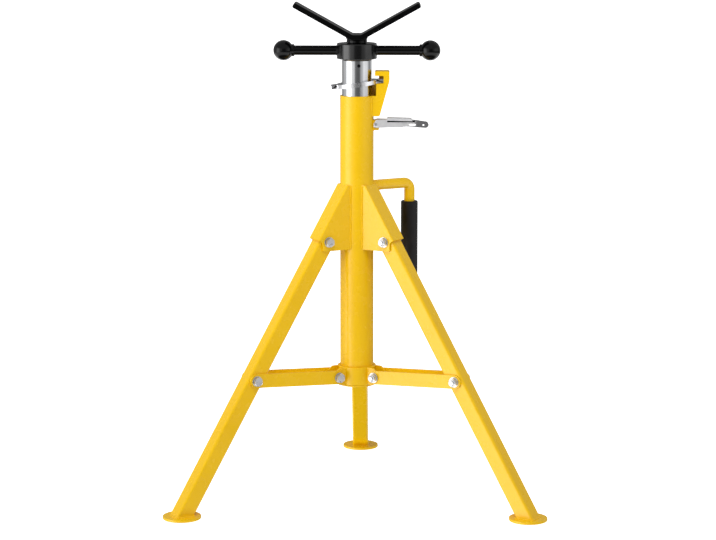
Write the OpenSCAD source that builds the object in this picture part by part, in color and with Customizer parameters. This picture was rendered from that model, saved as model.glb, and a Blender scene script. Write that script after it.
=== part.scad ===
// Pipe jack stand: three folding legs, a telescoping mast and a screw-lifted V head.
// Millimetres. +Z is up and the origin is on the floor under the post's axis.
// The front is -Y. The legs stand at 90 (back), 210 (left) and 330 degrees (right).

/* [Post] */
// Outside diameter of the post tube
post_od = 52.2; // [48:0.1:56]
// Wall thickness of the post tube
post_wall = 2.8; // [2:0.1:4]
// Length of the post tube
post_len = 457.2; // [440:0.1:520]
// Height of the post's lower end above the floor
post_lift = 178.8; // [165:0.1:195]
// Thickness of the ring that ends the post below the collar
end_ring_t = 2.7; // [2:0.1:5]

/* [Mast] */
// Wall thickness of the chromed mast tube
mast_wall = 3.2; // [2:0.1:4]
// Length of the mast tube
mast_len = 486; // [380:1:500]
// Height of the mast's top above the post's top, as it is set now
mast_rise = 54.9; // [52:0.1:120]
// Depth of the bushing that closes the mast's top
bushing_h = 24; // [16:0.5:40]
// Distance of the bushing's set screws below the mast's top
set_screw_drop = 7.6; // [5:0.1:10]
// Diameter of the bushing's set screws
set_screw_d = 5; // [3:0.5:6]

/* [Spinner] */
// Diameter of the round spinner nut
spinner_od = 62; // [58:0.5:70]
// Height of the spinner nut
spinner_h = 24.2; // [22:0.1:32]
// Diameter of the spinner's two handle bars
spin_bar_d = 15; // [12:0.5:18]
// Distance of each ball's centre from the axis
ball_reach = 113.5; // [100:0.5:150]
// Diameter of the balls on the handle bars
ball_d = 31.5; // [26:0.5:38]

/* [V head] */
// Diameter of the lift screw
screw_d = 24; // [20:0.5:27]
// Length of the lift screw
screw_len = 230; // [200:1:260]
// Outside diameter of the socket under the V
socket_od = 31.6; // [30:0.1:40]
// Height of the socket
socket_h = 5.8; // [5:0.1:20]
// Distance from tip to tip of the V
vee_span = 199; // [160:1:240]
// Width of the V's plate, from front to back
vee_w = 46; // [30:0.5:60]
// Thickness of the V's plate
vee_t = 8; // [4:0.1:9]
// Slope of each wing of the V
vee_angle = 29; // [20:0.5:40]
// Width of the flat at the bottom of the V
vee_flat = 17; // [10:0.5:24]

/* [Lock plate] */
// Thickness of the plate that grips the mast
lock_t = 6; // [4:0.1:7]
// Height of the plate's middle above the post's top
lock_rise = 18; // [17:0.1:20]
// Tilt of the plate when it grips, its left side low
lock_tilt = 7.5; // [5:0.1:8]
// Plate left all round the hole
lock_rim = 9.2; // [7:0.1:10]
// Width of the plate's two end tabs
lock_tab_w = 18; // [12:0.5:20]
// Length of the thumb tab on the left
thumb_tab_len = 8; // [5:0.1:15]
// Length of the right tab inside the bracket
held_tab_len = 9.5; // [8:0.1:10]

/* [Lock bracket] */
// Thickness of the bracket's sheet
hook_sheet = 3; // [2:0.1:4]
// Height of the hook over the held tab
hook_h = 7.1; // [5:0.1:8]
// How far the hook reaches in over the plate
hook_over = 7.9; // [5:0.1:9]
// Depth of the bracket from its notch to its back
hook_depth = 14.6; // [14:0.1:18]
// How far the bracket's foot reaches down the post
hook_foot_drop = 31.6; // [26:0.1:34]
// Width of the bracket's foot, out from the post
hook_foot_w = 9.4; // [8:0.1:12]

/* [Brake lever] */
// Distance of the lever's pin below the post's top
lever_drop = 45.8; // [44:0.1:80]
// Distance of the lever's pin from the post's surface
lever_pin_out = 3.1; // [3:0.1:5]
// Diameter of the lever's pin
lever_pin_d = 5; // [4:0.1:6]
// Thickness of the lever's flat bar
lever_t = 8; // [6:0.5:9]
// Thickness of the lever's cheeks beside its boss
lever_cheek_t = 2; // [1.5:0.1:3]
// Length of the lever's fork
lever_fork = 46.5; // [35:0.5:55]
// Distance of the lever's tip from the post's surface
lever_reach = 86.3; // [75:0.1:110]
// Thickness of each cheek of the lever's boss
boss_cheek = 3.2; // [3:0.1:6]
// Height of the lever's boss
boss_h = 15.7; // [15:0.1:20]

/* [Carry handle] */
// Diameter of the carry handle's bar
handle_d = 16.6; // [12:0.1:16.8]
// Distance of the grip from the post's axis
handle_reach = 94.7; // [88:0.1:110]
// Height of the handle's upper bar above the leg pivots
handle_up = 81.6; // [80:0.1:95]
// Bend radius of the handle's bar
handle_bend = 10.5; // [9:0.5:20]
// Diameter of the rubber grip
grip_d = 26.8; // [22:0.1:30]
// Length of the rubber grip
grip_len = 120; // [100:1:125]
// Distance from the upper bar's middle to the top of the grip
grip_drop = 29; // [26:0.5:34]

/* [Legs] */
// Width of the square leg tube
leg_w = 26.5; // [25:0.5:30]
// Wall thickness of the leg tube
leg_wall = 2; // [1.5:0.1:3]
// Angle between an open leg and the post
leg_angle = 31.3; // [28:0.1:34]
// Distance of the leg pivots from the post's surface
hinge_out = 32.5; // [32:0.1:38]
// Height of the leg pivots above the post's lower end
hinge_up = 233.1; // [225:0.1:245]
// Diameter of a foot pad
pad_d = 59.2; // [52:0.1:70]
// Thickness of a foot pad
pad_t = 4; // [3:0.1:8]

/* [Leg brackets] */
// Thickness of a leg bracket's sheet
gusset_t = 2.8; // [2:0.1:3]
// Height of a leg bracket above the pivot
gusset_up = 86; // [70:0.1:90]
// Depth of a leg bracket below the pivot
gusset_down = 14.4; // [12:0.1:20]
// Sheet left beyond the pivot
gusset_beyond = 10.4; // [9:0.1:13]

/* [Collar and braces] */
// Height of the sliding collar
collar_h = 28.3; // [26:0.1:34]
// Wall thickness of the sliding collar
collar_wall = 3.8; // [3:0.1:4.5]
// Distance of the collar's pivots from the post's surface
collar_out = 14.5; // [14:0.1:16]
// Height of the collar's pivots above the end ring
collar_pivot_up = 13.8; // [12:0.1:16]
// Distance of the brace bolt from the leg pivot, along the leg
brace_down = 242.4; // [236:0.1:248]
// Height of a brace bar
brace_w = 21.5; // [18:0.5:26]
// Thickness of a brace bar
brace_t = 3; // [2:0.1:5]

/* [Bolts] */
// Diameter of the pivot bolts
bolt_d = 8; // [6:0.5:9]
// Width across the flats of the bolt heads and nuts
hex_af = 13; // [11.5:0.5:14]
// Height of a bolt head
hex_head_h = 5.3; // [4:0.1:7]
// Height of a lock nut
nut_h = 6.5; // [5:0.1:8]
// Diameter of the washers
washer_d = 16; // [15:0.5:18]
// Thickness of the washers
washer_t = 1.5; // [1:0.1:2.5]

/* [Hidden] */
$fn = 96;

// Clearances
slide_gap = 0.3;
pivot_gap = 0.05;
seat_gap = 0.02;
side_gap = 0.3;
cut = 1;

// Heights and radii that several pieces share
post_r = post_od / 2;
post_bore_r = post_r - post_wall;
post_top = post_lift + post_len;
mast_r = post_bore_r - slide_gap;
mast_bore_r = mast_r - mast_wall;
mast_top = post_top + mast_rise;
thrust_t = 1.4;
thrust_rim = 9;
spinner_z = mast_top + thrust_t + side_gap;
spinner_top = spinner_z + spinner_h;
spin_bar_z = spinner_z + spinner_h / 2 + 0.9;
spin_bar_inner = spinner_od / 2 - 12;
spinner_edge = 1.2;
socket_z = spinner_top + side_gap;
vee_z = socket_z + socket_h;
screw_r = screw_d / 2;
set_screw_len = 5.5;
set_screw_azimuth = -81;

// Lock plate, its hinge line on the bracket's shelf and the notch that holds it
lock_hole_r = mast_r + 0.8;
lock_z = post_top + lock_rise;
lock_r = lock_hole_r + lock_rim;
notch_x = lock_r + 3;
near_notch = 5.6;
far_notch = 2;
near_edge_x = post_r + 3.9;
far_edge_x = mast_r - 0.6;
shelf_w = 3;
function lock_under(x) = lock_z + x * tan(lock_tilt) - lock_t / 2 / cos(lock_tilt);
function lock_over(x) = lock_under(x) + lock_t / cos(lock_tilt);
shelf_top = lock_under(notch_x + shelf_w) - 0.2 - shelf_w * tan(lock_tilt);
hook_under = lock_over(notch_x + held_tab_len) + 4;
hook_top = hook_under + hook_h;
hook_in = lock_tab_w / 2 + 0.5;
hook_back = notch_x + hook_depth;
hook_back_z = hook_top - 15.5;
hook_root_x = post_r - 8;
hook_foot_x = post_r + hook_foot_w;
hook_foot_z = post_top - hook_foot_drop;

// Brake lever: the round cam sits off its pin so that lifting the lever frees the mast
lever_x = post_r + lever_pin_out;
lever_z = post_top - lever_drop;
cam_offset = 1.4;
cam_r = lever_x - mast_r - slide_gap - cam_offset;
lever_half_gap = lever_t / 2 + side_gap;
boss_half_w = lever_half_gap + boss_cheek;
boss_out = 2.8;
boss_x = lever_x + lever_pin_d / 2 + boss_out;
boss_floor = 2;
lever_in = boss_half_w + side_gap;
lever_out = lever_in + lever_cheek_t;
lever_top = 8.8;
lever_under = 3.6;
lever_end_r = 3.7;
lever_parallel = 9;
lever_tip_len = 34;
lever_under_round = 60;
lever_top_round = 40;
lever_rest_w = 18;
lever_rest_up = 2.6;
lever_rest_in = 17;
lever_rest_slope = 1.2;
lever_slot = 7;
lever_slot_in = 26;
window_h = 2 * cam_r + 4;

// Carry handle
handle_azimuth = 30;
hinge_z = post_lift + hinge_up;
handle_z = hinge_z + handle_up;
grip_top = handle_z - grip_drop;
grip_end_wall = 5;

// Legs and their brackets, in the plane of each leg: x out from the post, z up
leg_azimuths = [90, 210, 330];
hinge_x = post_r + hinge_out;
leg_corner = 4;
leg_len = hinge_z / cos(leg_angle);
foot_x = hinge_x + (hinge_z - pad_t) * tan(leg_angle);
leg_cap = 8;
leg_cap_chamfer = 10;
leg_cap_chamfer_down = 12;
web_out = leg_w / 2 + 2 * side_gap + gusset_t;
web_down = 6;
gusset_in = leg_w / 2 + 0.75;
gusset_half_w = gusset_in + gusset_t;
gusset_top = hinge_z + gusset_up;
gusset_bottom = hinge_z - gusset_down;

// Collar and braces
collar_z = post_lift + end_ring_t + 0.1;
collar_r = post_r + slide_gap + collar_wall;
collar_x = post_r + collar_out;
collar_pivot_z = collar_z + collar_pivot_up;
ear_end_r = 6.5;
ear_t = 3.2;
ear_out = leg_w / 2;
brace_x = hinge_x + brace_down * sin(leg_angle);
brace_z = hinge_z - brace_down * cos(leg_angle);
brace_run = brace_x - collar_x;
brace_rise = brace_z - collar_pivot_z;
brace_len = norm([brace_run, brace_rise]);
brace_slope = atan2(brace_rise, brace_run);
brace_in = leg_w / 2 + side_gap;
brace_out = brace_in + brace_t;
bolt_r = bolt_d / 2;
thread_end = 2;

// Folded position: the legs stop this far short of upright
fold_left = 2;
fold_angle = leg_angle - fold_left;
folded_x = hinge_x + brace_down * sin(fold_left);
folded_z = hinge_z - brace_down * cos(fold_left);
folded_drop = sqrt(pow(brace_len, 2) - pow(folded_x - collar_x, 2));
collar_travel = folded_z + folded_drop - collar_pivot_z;
brace_swing = brace_slope + acos((folded_x - collar_x) / brace_len);
echo(fold_angle = fold_angle, collar_travel = collar_travel, brace_swing = brace_swing);
echo(brace_len = brace_len, foot_x = foot_x, hinge = [hinge_x, hinge_z]);
echo(collar_pivot = [collar_x, collar_pivot_z], brace_bolt = [brace_x, brace_z]);
echo(lock_hinge = [notch_x + shelf_w, shelf_top + 0.2], lever = [lever_x, lever_z]);
echo(heights = [post_top, hook_top, mast_top, spinner_z, socket_z, vee_z + vee_t]);

// Outline helpers

function unit(v) = v / norm(v);

// Points of the arc of radius r that rounds corner b between a and c
function corner_arc(a, b, c, r, steps = 8) =
    let (
        u = unit(a - b),
        v = unit(c - b),
        half = acos(u * v) / 2,
        middle = b + unit(u + v) * r / sin(half),
        from = b + u * r / tan(half) - middle,
        to = b + v * r / tan(half) - middle,
        start = atan2(from.y, from.x),
        turn = atan2(from.x * to.y - from.y * to.x, from * to)
    )
    [for (i = [0 : steps]) middle + r * [cos(start + turn * i / steps), sin(start + turn * i / steps)]];

// An outline given as [x, y, r] corners, each rounded by its own r
function rounded(corners) =
    let (n = len(corners), p = [for (k = corners) [k.x, k.y]])
    [for (i = [0 : n - 1])
        each corners[i].z > 0
            ? corner_arc(p[(i + n - 1) % n], p[i], p[(i + 1) % n], corners[i].z)
            : [p[i]]];

// A square tube's outline
function rounded_square(w, r) =
    rounded([for (s = [[-1, -1], [1, -1], [1, 1], [-1, 1]]) [s.x * w / 2, s.y * w / 2, r]]);

// An x-z outline made into a plate between y = from and y = to
module plate_xz(points, from, to) {
    translate([0, to, 0]) rotate([90, 0, 0]) linear_extrude(to - from) polygon(points);
}

// A rod along y from y = from to y = to, at x and z
module rod_y(r, from, to, x = 0, z = 0) {
    translate([x, to, z]) rotate([90, 0, 0]) cylinder(r = r, h = to - from);
}

// A hexagon along y, like a bolt head or a nut
module hex_y(from, to, x = 0, z = 0) {
    translate([x, to, z]) rotate([90, 0, 0]) cylinder(d = hex_af / cos(30), h = to - from, $fn = 6);
}

// A round rod along +x from x = from to x = to
module rod_x(r, from, to, z = 0) {
    translate([from, 0, z]) rotate([0, 90, 0]) cylinder(r = r, h = to - from);
}

// Turns a leg's own plane to its place round the post
module at_leg(i) {
    rotate([0, 0, leg_azimuths[i]]) children();
}

// Turns and moves to a leg's pivot, with -z along the leg
module along_leg() {
    translate([hinge_x, 0, hinge_z]) rotate([0, -leg_angle, 0]) children();
}

// A plain washer along y between from and to
module washer_y(from, to, x, z) {
    difference() {
        rod_y(washer_d / 2, from, to, x, z);
        rod_y(bolt_r + pivot_gap, from - cut, to + cut, x, z);
    }
}

// Hexagon bolt through to y = -(face) with its head outside y = face
module pivot_bolt(face, x, z) {
    rod_y(bolt_r, -face - washer_t - nut_h - thread_end, face + washer_t, x, z);
    hex_y(face + washer_t, face + washer_t + hex_head_h, x, z);
}

// Lock nut outside y = -face
module pivot_nut(face, x, z) {
    difference() {
        hex_y(-face - washer_t - nut_h, -face - washer_t, x, z);
        rod_y(bolt_r + seat_gap, -face - washer_t - nut_h - cut, -face - washer_t + cut, x, z);
    }
}

// Pieces fixed to the post

module post_tube() color("#f2b705") {
    difference() {
        translate([0, 0, post_lift]) cylinder(r = post_r, h = post_len);
        translate([0, 0, post_lift - cut]) cylinder(r = post_bore_r, h = post_len + 2 * cut);
        translate([0, -lever_half_gap, lever_z - window_h / 2])
            cube([post_r + cut, 2 * lever_half_gap, window_h]);
    }
}

module post_end_ring() color("#f2b705") {
    translate([0, 0, post_lift]) difference() {
        cylinder(r = collar_r - 0.5, h = end_ring_t);
        translate([0, 0, -cut]) cylinder(r = post_r + seat_gap, h = end_ring_t + 2 * cut);
    }
}

// Folded sheet bracket: two side plates joined by a web that lies along the open leg's outer face
module leg_bracket(i) color("#f2b705") {
    web_x = hinge_x + web_out * cos(leg_angle) + web_down * sin(leg_angle);
    web_z = hinge_z + web_out * sin(leg_angle) - web_down * cos(leg_angle);
    top_x = web_x - (gusset_top - web_z) * tan(leg_angle);
    sheet_x = gusset_t / cos(leg_angle);
    root_x = top_x - 15;
    outline = rounded([
        [root_x, gusset_bottom, 0], [hinge_x + gusset_beyond, gusset_bottom, 3],
        [hinge_x + gusset_beyond, hinge_z, 6], [web_x, web_z, 0],
        [top_x, gusset_top, 0], [root_x, gusset_top, 0]
    ]);
    inside_top = web_z + (web_x - sheet_x - root_x + cut) / tan(leg_angle);
    inside_x = max(hinge_x + gusset_beyond, web_x) + cut;
    inside = [
        [root_x - cut, gusset_bottom - cut], [inside_x, gusset_bottom - cut],
        [inside_x, web_z], [web_x - sheet_x, web_z], [root_x - cut, inside_top]
    ];
    at_leg(i) difference() {
        plate_xz(outline, -gusset_half_w, gusset_half_w);
        plate_xz(inside, -gusset_in, gusset_in);
        translate([0, 0, gusset_bottom - cut])
            cylinder(r = post_r + seat_gap, h = gusset_up + gusset_down + 2 * cut);
        rod_y(bolt_r + pivot_gap, -gusset_half_w - cut, gusset_half_w + cut, hinge_x, hinge_z);
    }
}

// Outline of a cheek of the lock bracket from x = edge_x, whose notch ends at x = notch_end
function lock_cheek(edge_x, notch_end) = rounded([
    [hook_root_x, hook_foot_z, 0], [hook_foot_x, hook_foot_z, 3], [hook_back, hook_back_z, 8],
    [hook_back, hook_top, 2.5], [notch_x - hook_over, hook_top, 1.5],
    [notch_x - hook_over, hook_under, 1], [notch_end, hook_under, 1.5], [notch_end, shelf_top, 0],
    [min(notch_end, notch_x), lock_under(min(notch_end, notch_x)) - 0.2, 0],
    [edge_x, lock_under(edge_x) - side_gap, 1.5], [edge_x, post_top, 0],
    [hook_root_x, post_top, 0]
]);

// Hook-shaped bracket that holds the lock plate's right tab between its cheeks. The near cheek
// is cut back further above the shelf and stands further from the mast.
module lock_bracket() color("#f2b705") {
    half_w = hook_in + hook_sheet;
    back_run = hook_back - hook_foot_x;
    back_rise = hook_back_z - hook_foot_z;
    sheet_x = hook_sheet * norm([back_run, back_rise]) / back_rise;
    channel = [
        [hook_root_x, hook_foot_z - cut], [hook_foot_x - sheet_x, hook_foot_z - cut],
        [hook_foot_x - sheet_x, hook_foot_z], [hook_back - sheet_x, hook_back_z],
        [hook_back - sheet_x, hook_top - hook_sheet], [hook_root_x, hook_top - hook_sheet]
    ];
    difference() {
        union() {
            difference() {
                union() {
                    plate_xz(lock_cheek(near_edge_x, notch_x + near_notch), -half_w, 0);
                    plate_xz(lock_cheek(far_edge_x, notch_x - far_notch), -seat_gap, half_w);
                }
                plate_xz(channel, -hook_in, hook_in);
            }
            translate([notch_x, -hook_in - seat_gap, shelf_top - hook_sheet])
                cube([shelf_w, 2 * (hook_in + seat_gap), hook_sheet]);
        }
        translate([0, 0, hook_foot_z - cut])
            cylinder(r = post_r + seat_gap, h = hook_foot_drop + cut + 0.5);
    }
}

module lever_boss() color("#f2b705") {
    difference() {
        translate([post_bore_r, -boss_half_w, lever_z - boss_h / 2])
            cube([boss_x - post_bore_r, 2 * boss_half_w, boss_h]);
        translate([0, -lever_half_gap, lever_z - boss_h / 2 + boss_floor])
            cube([boss_x + cut, 2 * lever_half_gap, boss_h]);
        translate([0, 0, lever_z - boss_h]) cylinder(r = post_r + seat_gap, h = 2 * boss_h);
        rod_y(lever_pin_d / 2 + seat_gap, -boss_half_w - cut, boss_half_w + cut, lever_x, lever_z);
    }
}

module lever_pin() color("#c9ccd0") {
    head = 1.4;
    face = lever_out + side_gap;
    rod_y(lever_pin_d / 2, -face, face, lever_x, lever_z);
    for (y = [-face - head, face]) rod_y(lever_pin_d / 2 + 1, y, y + head, lever_x, lever_z);
}

// One round bar, bent once, from the post out and down into the grip
module handle_bar() color("#f2b705") {
    bar_end = grip_top - grip_len + grip_end_wall;
    rotate([0, 0, handle_azimuth]) {
        difference() {
            rod_x(handle_d / 2, post_r - 6, handle_reach - handle_bend, handle_z);
            translate([0, 0, handle_z - handle_d]) cylinder(r = post_r + seat_gap, h = 2 * handle_d);
        }
        translate([handle_reach - handle_bend, 0, handle_z - handle_bend])
            rotate([90, 0, 0]) rotate_extrude(angle = 90) translate([handle_bend, 0]) circle(d = handle_d);
        translate([handle_reach, 0, bar_end]) cylinder(d = handle_d, h = handle_z - handle_bend - bar_end);
    }
}

module handle_grip() color("#1b1b1d") {
    rim = 2;
    profile = rounded([
        [0, 0, 0], [grip_d / 2, 0, rim], [grip_d / 2, grip_len, rim / 2],
        [handle_d / 2 + seat_gap, grip_len, 0], [handle_d / 2 + seat_gap, grip_end_wall, 0],
        [0, grip_end_wall, 0]
    ]);
    rotate([0, 0, handle_azimuth]) translate([handle_reach, 0, grip_top - grip_len])
        rotate_extrude() polygon(profile);
}

module leg_pivot_bolts() color("#c9ccd0") {
    for (i = [0 : 2]) at_leg(i) pivot_bolt(gusset_half_w, hinge_x, hinge_z);
}

module leg_pivot_nuts() color("#c9ccd0") {
    for (i = [0 : 2]) at_leg(i) pivot_nut(gusset_half_w, hinge_x, hinge_z);
}

module leg_pivot_washers() color("#c9ccd0") {
    for (i = [0 : 2]) at_leg(i) {
        washer_y(gusset_half_w, gusset_half_w + washer_t, hinge_x, hinge_z);
        washer_y(-gusset_half_w - washer_t, -gusset_half_w, hinge_x, hinge_z);
    }
}

// Mast

module mast_tube() color("#d7dade") {
    difference() {
        translate([0, 0, mast_top - mast_len]) cylinder(r = mast_r, h = mast_len);
        translate([0, 0, mast_top - mast_len - cut]) cylinder(r = mast_bore_r, h = mast_len + 2 * cut);
        set_screw_places() rod_x(set_screw_d / 2 + 0.1, 0, mast_r + cut);
    }
}

module set_screw_places() {
    for (a = [set_screw_azimuth, set_screw_azimuth + 180])
        rotate([0, 0, a]) translate([0, 0, mast_top - set_screw_drop]) children();
}

module mast_bushing() color("#8d9196") {
    difference() {
        translate([0, 0, mast_top - bushing_h]) cylinder(r = mast_bore_r - seat_gap, h = bushing_h);
        translate([0, 0, mast_top - bushing_h - cut]) cylinder(r = screw_r + 0.5, h = bushing_h + 2 * cut);
        set_screw_places() rod_x(set_screw_d / 2 + seat_gap, 0, mast_r + cut);
    }
}

module bushing_set_screws() color("#2a2b2e") {
    socket_depth = 2.5;
    set_screw_places() difference() {
        rod_x(set_screw_d / 2, mast_r - 0.4 - set_screw_len, mast_r - 0.4);
        translate([mast_r - 0.4 - socket_depth, 0, 0]) rotate([0, 90, 0])
            cylinder(d = set_screw_d / 2, h = socket_depth + cut, $fn = 6);
    }
}

module thrust_washer() color("#b9924a") {
    translate([0, 0, mast_top]) difference() {
        cylinder(r = screw_r + thrust_rim, h = thrust_t);
        translate([0, 0, -cut]) cylinder(r = screw_r + 0.5, h = thrust_t + 2 * cut);
    }
}

// Spinner

module spinner_nut() color("#1b1b1d") {
    r = spinner_od / 2;
    difference() {
        translate([0, 0, spinner_z]) rotate_extrude() polygon([
            [screw_r + pivot_gap, 0], [r - spinner_edge, 0], [r, spinner_edge],
            [r, spinner_h - spinner_edge], [r - spinner_edge, spinner_h], [screw_r + pivot_gap, spinner_h]
        ]);
        for (a = [0, 180]) rotate([0, 0, a])
            rod_x(spin_bar_d / 2 + seat_gap, spin_bar_inner, r + cut, spin_bar_z);
    }
}

module spinner_bar(a) color("#1b1b1d") {
    rotate([0, 0, a]) rod_x(spin_bar_d / 2, spin_bar_inner, ball_reach - 2, spin_bar_z);
}

module ball_knob(a) color("#1b1b1d") {
    neck_r = spin_bar_d / 2 + 2;
    rotate([0, 0, a]) difference() {
        union() {
            translate([ball_reach, 0, spin_bar_z]) sphere(d = ball_d);
            rod_x(neck_r, ball_reach - ball_d / 2 - 1, ball_reach, spin_bar_z);
        }
        rod_x(spin_bar_d / 2 + seat_gap, 0, ball_reach - 2 + seat_gap, spin_bar_z);
    }
}

// Head

module lift_screw() color("#6d7075") {
    chamfer = 2;
    translate([0, 0, vee_z - screw_len]) rotate_extrude() polygon([
        [0, 0], [screw_r - chamfer, 0], [screw_r, chamfer], [screw_r, screw_len], [0, screw_len]
    ]);
}

module head_socket() color("#1b1b1d") {
    translate([0, 0, socket_z]) difference() {
        cylinder(d = socket_od, h = socket_h);
        translate([0, 0, -cut]) cylinder(r = screw_r + seat_gap, h = socket_h + 2 * cut);
    }
}

// Flat plate bent to a V with a small flat between its wings
module vee_plate() color("#1b1b1d") {
    flat = vee_flat / 2;
    wing = (vee_span / 2 - flat) / cos(vee_angle);
    tip = [flat + wing * cos(vee_angle), wing * sin(vee_angle)];
    tip_top = tip + vee_t * [-sin(vee_angle), cos(vee_angle)];
    bend = flat - vee_t * tan(vee_angle / 2);
    right = [[flat, 0, 12], [tip.x, tip.y, 0.8], [tip_top.x, tip_top.y, 0.8], [bend, vee_t, 7]];
    left = [for (i = [3 : -1 : 0]) [-right[i].x, right[i].y, right[i].z]];
    translate([0, 0, vee_z]) plate_xz(rounded(concat(right, left)), -vee_w / 2, vee_w / 2);
}

// Lock plate and brake lever

// Round plate with a hole for the mast and two tabs, tilted so that its edges bite
module lock_plate() color("#c9ccd0") {
    tab = lock_tab_w / 2;
    thumb = lock_r + thumb_tab_len;
    held = notch_x + held_tab_len;
    tabs = rounded([[-thumb, -tab, 2], [held, -tab, 1.5], [held, tab, 1.5], [-thumb, tab, 2]]);
    translate([0, 0, lock_z]) rotate([0, -lock_tilt, 0]) translate([0, 0, -lock_t / 2]) difference() {
        union() {
            cylinder(r = lock_r, h = lock_t);
            linear_extrude(lock_t) polygon(tabs);
        }
        translate([0, 0, -cut]) cylinder(r = lock_hole_r, h = lock_t + 2 * cut);
    }
}

// Lever whose cheeks straddle the boss and close to one bar, with a rest on top, openings near
// its tip and a round cam on an arm between the cheeks
module brake_lever() color("#d7dade") {
    tip_x = post_r + lever_reach;
    half_t = lever_t / 2;
    closed_x = lever_x + lever_fork;
    slot_x = tip_x - lever_slot_in;
    side = rounded([
        [lever_x - lever_end_r, -lever_end_r - 0.5, lever_end_r],
        [tip_x - lever_tip_len, -lever_under + 1, lever_under_round],
        [tip_x - 4, -lever_under - 1, 4], [tip_x, -0.5, 3.5], [tip_x - 3, lever_top - 4.2, 3],
        [tip_x - lever_tip_len + 4, lever_top - 0.2, lever_top_round], [lever_x + 1, lever_top, 2],
        [lever_x - lever_end_r, 1.5, 3]
    ]);
    arm = rounded([
        [lever_x - 1, -lever_under, 0], [closed_x - 4, -lever_under, 0], [closed_x - 4, lever_top - 1, 0],
        [lever_x + 6, lever_top - 1, 3], [lever_x - 1, 4, 0]
    ]);
    rest = rounded([
        [lever_x + lever_rest_in, lever_top - 1.6, 0], [slot_x, lever_top - 2.4, 0],
        [slot_x - 2, lever_top + lever_rest_up - lever_rest_slope, 1],
        [lever_x + lever_rest_in + 1, lever_top + lever_rest_up, 1]
    ]);
    translate([0, 0, lever_z]) difference() {
        union() {
            difference() {
                intersection() {
                    plate_xz(side, -lever_out, lever_out);
                    lever_plan(lever_out, half_t, closed_x, tip_x + cut);
                }
                lever_plan(lever_in, half_t - lever_cheek_t, closed_x, closed_x);
            }
            plate_xz(arm, -half_t, half_t);
            plate_xz(rest, -lever_rest_w / 2, lever_rest_w / 2);
            rod_y(cam_r, -half_t, half_t, lever_x - cam_offset, 0);
        }
        rod_y(lever_pin_d / 2 + pivot_gap, -lever_out - cut, lever_out + cut, lever_x, 0);
        for (x = [-lever_slot, lever_slot] / 2) rod_y(1.9, -lever_t, lever_t, slot_x + x, -0.2);
        translate([slot_x - lever_slot / 2, -lever_t, -2.1]) cube([lever_slot, 2 * lever_t, 3.8]);
        rod_y(1.7, -lever_t, lever_t, tip_x - 9, -0.4);
    }
}

// The fork seen from above, from half its width at the boss to half its width where it closes
module lever_plan(wide, narrow, closed_x, end_x) {
    side = [
        [lever_x - 2 * lever_end_r, wide], [lever_x + lever_parallel, wide],
        [closed_x, narrow], [end_x, narrow]
    ];
    translate([0, 0, -2 * lever_top]) linear_extrude(4 * lever_top)
        polygon(concat(side, [for (i = [3 : -1 : 0]) [side[i].x, -side[i].y]]));
}

// Collar

module slide_collar() color("#f2b705") {
    ear = rounded([
        [post_r - 2, 0, 0], [collar_x - 3, 0, 4], [collar_x + ear_end_r, collar_pivot_up - ear_end_r, 6.4],
        [collar_x + ear_end_r, collar_pivot_up + ear_end_r, 6.4], [collar_x - 3, collar_h, 4],
        [post_r - 2, collar_h, 0]
    ]);
    translate([0, 0, collar_z]) difference() {
        union() {
            cylinder(r = collar_r, h = collar_h);
            for (i = [0 : 2]) at_leg(i) for (s = [-ear_out, ear_out - ear_t]) plate_xz(ear, s, s + ear_t);
        }
        translate([0, 0, -cut]) cylinder(r = post_r + slide_gap, h = collar_h + 2 * cut);
        for (i = [0 : 2]) at_leg(i)
            rod_y(bolt_r + pivot_gap, -ear_out - cut, ear_out + cut, collar_x, collar_pivot_up);
    }
}

module collar_bolts() color("#c9ccd0") {
    for (i = [0 : 2]) at_leg(i) pivot_bolt(brace_out + side_gap, collar_x, collar_pivot_z);
}

module collar_nuts() color("#c9ccd0") {
    for (i = [0 : 2]) at_leg(i) pivot_nut(brace_out + side_gap, collar_x, collar_pivot_z);
}

module collar_washers() color("#c9ccd0") {
    face = brace_out + side_gap;
    for (i = [0 : 2]) at_leg(i) {
        washer_y(face, face + washer_t, collar_x, collar_pivot_z);
        washer_y(-face - washer_t, -face, collar_x, collar_pivot_z);
    }
}

// Legs

// Square tube, its top corner cut back under the bracket's web and its foot cut level
module leg_tube(i) color("#f2b705") {
    half = leg_w / 2;
    side = [
        [-half - cut, -leg_len - leg_w], [half + cut, -leg_len - leg_w],
        [half + cut, leg_cap - leg_cap_chamfer_down], [half, leg_cap - leg_cap_chamfer_down],
        [half - leg_cap_chamfer, leg_cap], [-half - cut, leg_cap]
    ];
    at_leg(i) difference() {
        intersection() {
            along_leg() intersection() {
                difference() {
                    translate([0, 0, -leg_len - leg_w])
                        linear_extrude(leg_len + leg_w + leg_cap)
                        polygon(rounded_square(leg_w, leg_corner));
                    translate([0, 0, -leg_len - leg_w - cut])
                        linear_extrude(leg_len + leg_w + leg_cap + 2 * cut)
                        polygon(rounded_square(leg_w - 2 * leg_wall, leg_corner - leg_wall));
                }
                plate_xz(side, -leg_w, leg_w);
            }
            translate([0, -leg_w, pad_t]) cube([2 * foot_x, 2 * leg_w, 2 * leg_len]);
        }
        rod_y(bolt_r + pivot_gap, -leg_w, leg_w, hinge_x, hinge_z);
        rod_y(bolt_r + seat_gap, -leg_w, leg_w, brace_x, brace_z);
    }
}

module foot_pad(i) color("#f2b705") {
    edge = 0.6;
    r = pad_d / 2;
    at_leg(i) translate([foot_x, 0, 0])
        rotate_extrude() polygon([[0, 0], [r, 0], [r, pad_t - edge], [r - edge, pad_t], [0, pad_t]]);
}

// The middle of the brace bolt, held across the leg
module brace_sleeve(i) color("#c9ccd0") {
    at_leg(i) rod_y(bolt_r, -leg_w / 2, leg_w / 2, brace_x, brace_z);
}

// Braces

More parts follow.
